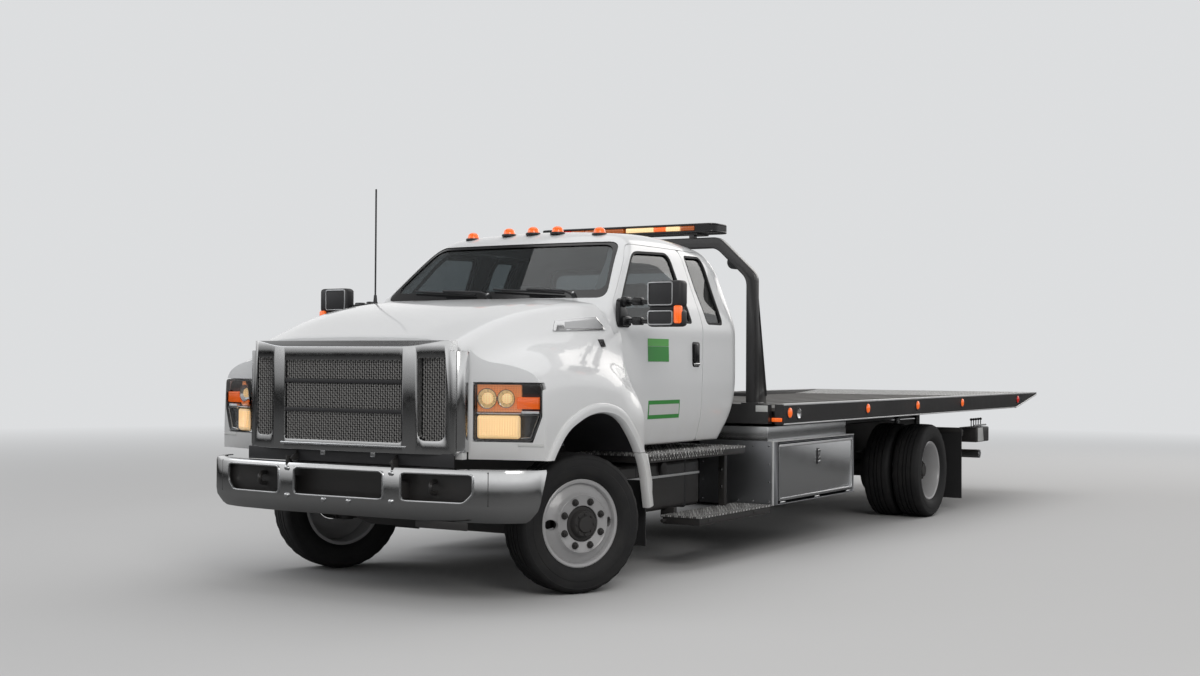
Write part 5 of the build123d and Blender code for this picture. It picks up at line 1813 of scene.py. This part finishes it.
def plank(x, stations, z):
    pitch, deep = steps["tooth"]
    count = round((stations[1] - stations[0]) / pitch)
    pitch = (stations[1] - stations[0]) / count
    edge = []
    for k in range(count):
        edge += [(x[1] - deep, stations[0] + k * pitch), (x[1], stations[0] + (k + 0.5) * pitch)]
    edge.append((x[1] - deep, stations[1]))
    under = z[1] - steps["plank"]
    top = slab([(x[0], stations[1]), (x[0], stations[0])] + edge, under, z[1] - 0.004, planView)
    length = (stations[0] + 0.006, stations[1] - 0.006)
    skirt = block((x[0] + 0.006, x[1] - 0.014), length, (z[0], under + 0.001), 0.003)
    gap, radius, tall = steps["stud"]
    across, along = int((x[1] - x[0] - 0.04) / gap), int((stations[1] - stations[0] - 0.03) / gap)
    start = (x[0] + 0.022, at(stations[0] + 0.025), z[1] - 0.002)
    studs = settle(added(
        bpy.ops.mesh.primitive_cone_add, vertices=6, radius1=radius, radius2=radius * 0.6, depth=tall,
        location=start,
    ))
    repeated(repeated(studs, across, (gap, 0, 0)), along, (0, gap, 0))
    return join(top, studs), skirt


def makeSteps():
    tops, skirts = zip(*(plank(*steps[k]) for k in ("upper", "lower")))
    dressBoth(join(*tops), "stepTreads", "tread", "chassis", "side_steps")
    x, s, heights = steps["bolts"]
    heads = [rod((x, at(s + 0.012), z), (x, at(s), z), 0.012, 6, 0.002) for z in heights]
    dressBoth(join(*heads), "stepBolts", "chrome", "chassis")
    (x, s, z), (many, along), (rows, up) = steps["teeth"]
    tooth = rod((x - 0.004, at(s), z), (x + 0.004, at(s), z), 0.008, 8)
    repeated(repeated(tooth, many, (0, along, 0)), rows, (0, along / 2, up))
    dressBoth(tooth, "stepTeeth", "tread", "chassis")
    ends, z, radius = steps["stub"]
    stub = tube([(0.930, at(s), z) for s in ends], radius)
    dressBoth(join(*skirts, *blocks(steps["brackets"]), stub), "stepBrackets", "chassisBlack", "chassis")


tank = {
    "box": ((0.560, 0.880), (0.640, 1.765), (0.385, 0.718)),
    "arms": [((0.465, 0.565), (s, s + 0.06), (0.600, 0.700), 0.004) for s in (0.800, 1.600)],
    "cap": ((0.860, 0.905), 1.200, 0.672, 0.045),
    "strip": ((0.872, 0.8865), (0.660, 1.745), (0.606, 0.624), 0.004),
    "straps": [((0.556, 0.884), (s - 0.022, s + 0.022), (0.381, 0.722), 0.036) for s in (0.860, 1.540)],
}


def makeTanks():
    (x0, x1), s, z, radius = tank["cap"]
    cap = rod((x0, at(s), z), (x1, at(s), z), radius, 32, 0.008)
    box = join(block(*tank["box"], 0.035), *blocks(tank["arms"]), cap)
    dressBoth(box, "tankBox", "chassisBlack", "chassis", "fuel_tanks", slot="black_trim")
    dressBoth(join(*blocks(tank["straps"])), "tankStraps", "blackPlastic", "chassis")
    # the light grey strip across the black tank is a painted reflection
    dressBoth(block(*tank["strip"]), "tankStrip", "brightEdge", "chassis", slot="bright_steel")


makeSteps()
makeTanks()
print("steps and tanks made")


# Toolboxes and their drop-down doors
toolbox = {
    "outer": ((0.600, 1.200), (2.290, 3.835), (0.350, 0.816)),
    "inner": ((0.606, 1.210), (2.380, 3.829), (0.356, 0.810)),
    "opening": ((1.150, 1.300), (2.386, 3.817), (0.370, 0.796)),
    "lip": ((1.150, 1.199), (2.386, 3.817), (0.796, 0.801)),
    "tray": ((0.620, 1.160), (2.290, 3.760), (0.814, 0.925), 0.006),
    "rivets": [(x, z) for x in (0.63, 1.17) for z in (0.38, 0.52, 0.65, 0.78)]
    + [(x, z) for z in (0.38, 0.78) for x in (0.78, 0.92, 1.04)],
    "rivet": ((2.292, 2.286), 0.007),
    "hinges": (2.470, 3.100, 3.730),
    "hinge": (1.192, 0.045, 0.366, 0.0075),
    "arms": [((0.465, 0.605), (s, s + 0.06), (0.620, 0.760), 0.004) for s in (2.700, 3.500)],
    "edges": [
        ((1.190, 1.2025), (2.288, 2.306), (0.352, 0.814), 0.003),
        ((1.150, 1.2025), (2.290, 3.835), (0.808, 0.818), 0.003),
    ],
    "door": [(2.394, 0.378), (3.809, 0.378), (3.809, 0.788), (2.394, 0.788)],
    "doorX": (1.184, 1.196),
    "borderX": (1.190, 1.2005),
    "border": 0.020,
    "doorStrip": ((1.1975, 1.2025), (2.400, 3.803), (0.772, 0.786), 0.002),
    "latchPlate": [(3.085, 0.612), (3.145, 0.612), (3.145, 0.734), (3.085, 0.734)],
    "latchX": (1.196, 1.2015),
    "latch": [
        ((1.200, 1.211), (3.095, 3.135), (0.701, 0.727), 0.004),
        ((1.200, 1.211), (3.095, 3.135), (0.613, 0.639), 0.004),
        ((1.200, 1.207), (3.109, 3.121), (0.632, 0.712), 0.003),
    ],
    "lock": ((1.199, 1.213), 3.115, 0.660, 0.014),
}


def makeToolboxes():
    box = cut(block(*toolbox["outer"]), block(*toolbox["inner"]), block(*toolbox["opening"]))
    soften(box, 0.003, 2)
    body = "toolbox_door_{}"
    alloy = "polished_aluminium"
    # the body's aluminium is painted darker than the doors' as painted shade
    dressBoth(join(box, block(*toolbox["lip"])), "toolboxBody", "shadedBoxMetal", "chassis", "toolboxes")
    dressBoth(block(*toolbox["tray"]), "toolboxTray", "polished", "chassis", slot=alloy)
    (near, far), radius = toolbox["rivet"]
    heads = [rod((x, at(near), z), (x, at(far), z), radius, 12, 0.002) for x, z in toolbox["rivets"]]
    x, half, z, radius = toolbox["hinge"]
    heads += [rod((x, at(s - half), z), (x, at(s + half), z), radius, 12, 0.001) for s in toolbox["hinges"]]
    dressBoth(join(*heads), "toolboxRivets", "polished", "chassis", slot=alloy)
    dressBoth(join(*blocks(toolbox["arms"])), "toolboxArms", "chassisBlack", "chassis")
    # light grey strips on the box's front corner and top edge are painted highlights
    dressBoth(join(*blocks(toolbox["edges"])), "toolboxCorner", "brightEdge", "chassis")
    outline = arcs(toolbox["door"], 0.012, 3)
    inner = arcs(grown(toolbox["door"], -toolbox["border"]), 0.012, 3)
    border = cut(slab(outline, *toolbox["borderX"], sideView), slab(inner, 1.1, 1.3, sideView))
    door = soften(join(slab(outline, *toolbox["doorX"], sideView), border), 0.0015)
    dressBoth(door, "toolboxDoor", "polished", body, body, slot=alloy)
    # the light grey strip along the door's top is a painted highlight
    dressBoth(block(*toolbox["doorStrip"]), "toolboxDoorStrip", "brightEdge", body)
    plate = soften(slab(arcs(toolbox["latchPlate"], 0.015, 4), *toolbox["latchX"], sideView), 0.002)
    dressBoth(plate, "toolboxLatchPlate", "blackPlastic", body)
    (low, high), s, z, radius = toolbox["lock"]
    lock = rod((low, at(s), z), (high, at(s), z), radius, 20, 0.003)
    dressBoth(join(*blocks(toolbox["latch"]), lock), "toolboxLatch", "chrome", body)


makeToolboxes()
print("toolboxes made")


# Deck: floor, edges with painted highlights, side lamps, tail tip and winch
deckTrim = {
    "edges": [
        ((1.284, 1.299), (2.262, 8.780), (1.076, 1.0905), 0.004),
        ((1.289, 1.298), (2.262, 8.014), (0.938, 0.948), 0.003),
    ],
    "tail": [(8.014, 0.940), (8.114, 0.956), (8.770, 1.062), (8.770, 1.083)],
    "tailSize": (1.294, 0.0065),
    "rampHalf": 1.222,
    "rib": ((2.775, 8.105), (1.0465, 1.0515), 0.002),
    "ribHalf": 0.012,
    "lensX": 1.2955,
    "bezelX": 1.2950,
    "ramp": [(8.120, 1.0475), (8.120, 1.050), (8.779, 1.0875), (8.779, 1.0850)],
    "lip": ((-1.295, 1.295), (8.768, 8.7795), (1.060, 1.088), 0.005),
    "lamps": [
        (2.364, 1.024, "amberLit"), (3.890, 1.022, "amberLit"), (5.060, 1.024, "amberLit"),
        (6.277, 1.024, "amberLit"), (2.528, 1.015, "clear"), (8.079, 1.024, "red"),
    ],
    "lens": [(0.0, 0.0), (0.016, 0.0), (0.014, 0.020), (0.009, 0.033), (0.0, 0.038)],
    "bezel": [(0.0, 0.036), (0.005, 0.038), (0.005, 0.046), (0.0, 0.048)],
    "ribs": [-1.10 + 0.22 * k for k in range(11)],
    "lowLamp": ((1.205, 1.285), (2.246, 2.262), (0.960, 0.988), 0.006),
    "plate": ((1.101, 1.196), (2.201, 2.2055), (1.031, 1.077)),
}


def makeDeckTrim():
    x, radius = deckTrim["tailSize"]
    tail = [(x, at(s), z) for s, z in deckTrim["tail"]]
    edges = blocks(deckTrim["edges"]) + [tube(tail[:3], radius), tube(tail[2:], radius)]
    # light grey strips along the deck rail's edges and the tail tip are painted highlights
    dressBoth(join(*edges), "deckEdges", "brightEdge", "deck")
    ramp = slab(deckTrim["ramp"], -deckTrim["rampHalf"], deckTrim["rampHalf"], sideView)
    dress(join(ramp, block(*deckTrim["lip"])), "tailRamp", "tread", "deck")
    half = deckTrim["ribHalf"]
    ribs = [block((x - half, x + half), *deckTrim["rib"]) for x in deckTrim["ribs"]]
    dress(join(*ribs), "floorRibs", "deckSteel", "deck")
    lenses, bezels = {}, []
    for s, z, finish in deckTrim["lamps"]:
        made = turned(deckTrim["lens"], (deckTrim["lensX"], at(s), z), (1, 0, 0), 28)
        lenses.setdefault(finish, []).append(made)
        bezels.append(turned(deckTrim["bezel"], (deckTrim["bezelX"], at(s), z), (1, 0, 0), 28))
    lenses["amberLit"].append(block(*deckTrim["lowLamp"]))
    for finish, parts in lenses.items():
        dressBoth(join(*parts), f"deckLamps{finish.title()}", finish, "deck")
    dressBoth(join(*bezels), "deckLampBezels", "blackPlastic", "deck")
    dress(soften(block(*deckTrim["plate"]), 0.002), "frontPlate", "plate", "deck")


winch = {
    "place": (2.620, 1.162),
    "half": 0.250,
    "radius": 0.062,
    "wire": 0.011,
    "cheeks": (-0.270, 0.250),
    "cheek": [(0.0, 0.0), (0.0, 0.098), (0.012, 0.098), (0.020, 0.090), (0.020, 0.0)],
    "housings": [(0.270, 0.470, 0.058, 0.010), (-0.400, -0.270, 0.070, 0.012)],
    "bases": [
        ((-0.270, -0.250), (2.540, 2.700), (1.062, 1.162), 0.004),
        ((0.250, 0.270), (2.540, 2.700), (1.062, 1.162), 0.004),
        ((0.290, 0.450), (2.570, 2.670), (1.070, 1.162), 0.008),
        ((-0.400, 0.500), (2.540, 2.700), (1.059, 1.072), 0.003),
    ],
    "guide": [
        (-0.240, 1.080, -0.240, 1.205, 0.010),
        (0.240, 1.080, 0.240, 1.205, 0.010),
        (-0.255, 1.205, 0.255, 1.205, 0.012),
    ],
    "guideAt": 2.685,
}


def makeWinch():
    s, z = winch["place"]
    half, radius, wire = winch["half"], winch["radius"], winch["wire"]
    across = (1, 0, 0)
    outer = []
    for k in range(int(half * 2 / wire)):
        x = -half + (k + 0.5) * wire
        outer += [(x - wire * 0.35, radius + 0.004), (x, radius + 0.009), (x + wire * 0.35, radius + 0.004)]
    drum = turned([(-half, 0.0)] + outer + [(half, 0.0)], (0, at(s), z), across, 40)
    dress(drum, "winchWire", "brushed", "deck", "winch")
    parts = blocks(winch["bases"])
    for x in winch["cheeks"]:
        parts.append(turned([(x + u, r) for u, r in winch["cheek"]], (0, at(s), z), across, 48))
    for low, high, radius, soft in winch["housings"]:
        parts.append(rod((low, at(s), z), (high, at(s), z), radius, 40, soft))
    back = at(winch["guideAt"])
    for x0, z0, x1, z1, radius in winch["guide"]:
        parts.append(rod((x0, back, z0), (x1, back, z1), radius))
    dress(join(*parts), "winchFrame", "chassisBlack", "deck", slot="black_deck")


makeDeckTrim()
makeWinch()
print("deck and winch made")


# Rear: lever stations, lamp bar, mud flaps and the wheel lift's crossbar
rear = {
    "levers": [
        ((1.000, 1.180), (7.080, 7.480), (0.615, 0.760), 0.010),
        ((0.465, 1.005), (7.200, 7.280), (0.640, 0.720), 0.006),
    ],
    "leverPlate": [(7.120, 0.622), (7.300, 0.622), (7.270, 0.757), (7.120, 0.757)],
    "leverRail": (1.150, (7.090, 7.470), 0.778),
    "lever": (1.110, [7.130 + 0.075 * k for k in range(5)], (0.755, 0.822, 0.830)),
    "knob": [(0, 0), (0.004, 0.010), (0.014, 0.014), (0.024, 0.010), (0.028, 0)],
    "bar": ((-0.560, 0.560), (7.456, 7.500), (0.600, 0.700), 0.006),
    "barMount": ((0.395, 0.455), (7.450, 7.460), (0.640, 0.680)),
    "lamps": (("tailLenses", "red", (0.500, 0.420)), ("reverseLenses", "clear", (0.340,))),
    "lens": [(0, 0), (0.012, 0), (0.010, 0.020), (0.006, 0.031), (0, 0.035)],
    "plate": ((-0.150, 0.150), (7.500, 7.504), (0.605, 0.695), 0.0015),
    "flaps": [
        ((0.720, 1.224), (6.480, 6.491), (0.110, 0.780)),
        ((0.640, 1.150), (0.505, 0.516), (0.232, 0.640)),
    ],
    "hangers": [
        ((0.465, 1.224), (6.492, 6.528), (0.700, 0.760), 0.004),
        ((0.465, 1.130), (0.516, 0.545), (0.590, 0.640), 0.004),
        ((0.722, 1.222), (6.474, 6.480), (0.735, 0.775), 0.002),
    ],
    "beam": ((-0.720, 0.720), (7.550, 7.640), (0.415, 0.535), 0.008),
    "pin": (7.590, 0.0225),
    "pipe": ((0.700, 1.050), 0.042),
    "bore": ((0.760, 1.100), 0.034),
    "pipeAt": (7.595, 0.475),
}


def makeLevers():
    body = "chassis"
    dressBoth(join(*blocks(rear["levers"])), "leverBox", "chassisBlack", body, "lever_stations")
    plate = soften(slab(rear["leverPlate"], 1.178, 1.184, sideView), 0.002)
    dressBoth(plate, "leverPlate", "plate", body)
    x, (start, end), z = rear["leverRail"]
    rods, knobs = [rod((x, at(start), z), (x, at(end), z), 0.008)], []
    x, stations, (foot, knob, top) = rear["lever"]
    for s in stations:
        rods.append(rod((x, at(s), foot), (x, at(s), top), 0.005))
        knobs.append(turned(rear["knob"], (x, at(s), knob), (0, 0, 1), 16))
    dressBoth(join(*rods), "leverRods", "chrome", body)
    dressBoth(join(*knobs), "leverKnobs", "blackPlastic", body)


def makeLampBar():
    mounts = [blocks([rear["barMount"]], side)[0] for _, side in sides]
    dress(join(block(*rear["bar"]), *mounts), "lampBar", "chassisBlack", "chassis", "tail_lamps")
    for name, finish, places in rear["lamps"]:
        made = []
        for _, side in sides:
            made += [turned(rear["lens"], (side * x, at(7.500), 0.650), (0, 1, 0), 28) for x in places]
        dress(join(*made), name, finish, "chassis")
    dress(block(*rear["plate"]), "rearPlate", "plate", "chassis")


def makeFlaps():
    flaps = []
    for x, stations, z in rear["flaps"]:
        flap = edit(block(x, stations, z), (bpy.ops.mesh.subdivide, {"number_cuts": 12}))
        for vertex in flap.data.vertices:
            drop = (z[1] - vertex.co.z) / (z[1] - z[0])
            vertex.co.y += 0.010 * math.sin((vertex.co.x - x[0]) * 9) * drop + 0.012 * drop * drop
        flaps.append(smooth(flap, 50))
    dressBoth(join(*flaps), "mudFlaps", "rubber", "chassis")
    dressBoth(join(*blocks(rear["hangers"])), "flapHangers", "chassisBlack", "chassis")


def makeCrossbar():
    s, radius = rear["pin"]
    beam = cut(block(*rear["beam"]), rod((0, at(s), 0.3), (0, at(s), 0.7), radius, 32))
    dress(beam, "crossbarBeam", "deckBlack", "lift_crossbar", "lift_crossbar")
    s, z = rear["pipeAt"]
    pipes = []
    for _, side in sides:
        pipe, bore = (
            rod((side * near, at(s), z), (side * far, at(s), z), radius, 40)
            for (near, far), radius in (rear["pipe"], rear["bore"])
        )
        pipes.append(soften(cut(pipe, bore), 0.0015, 2, 50))
    dress(join(*pipes), "crossbarPipes", "brushed", "lift_crossbar")


makeLevers()
makeLampBar()
makeFlaps()
makeCrossbar()
print("rear made")


# Floor, light and camera
def makeStudio():
    bpy.ops.object.select_all(action="DESELECT")
    bpy.ops.mesh.primitive_circle_add(vertices=96, radius=160, fill_type="NGON")
    floor = bpy.context.object
    floor.name = "studioFloor"
    floor.data.materials.append(floorFinish())
    lights = [
        ("key", (10, -12, 9), 560, 6, (1, 0.98, 0.95)),
        ("fill", (-10, -9, 7), 160, 7, (0.93, 0.96, 1)),
        ("back", (2, 12, 8), 300, 8, (1, 0.96, 0.92)),
        ("top", (0, 0, 10), 320, 10, (1, 1, 1)),
    ]
    for name, place, power, size, colour in lights:
        bpy.ops.object.light_add(type="AREA", location=place)
        light = bpy.context.object
        light.name = name
        light.data.energy = power
        light.data.size = size
        light.data.color = colour
        light.rotation_euler = (Vector((0, 0, 0.8)) - Vector(place)).to_track_quat("-Z", "Y").to_euler()
    world = bpy.data.worlds.new("studio")
    bpy.context.scene.world = world
    world.use_nodes = True
    skyLight(world)
    bpy.context.scene.view_settings.view_transform = "Standard"


makeCamera()
makeStudio()
print("studio made")
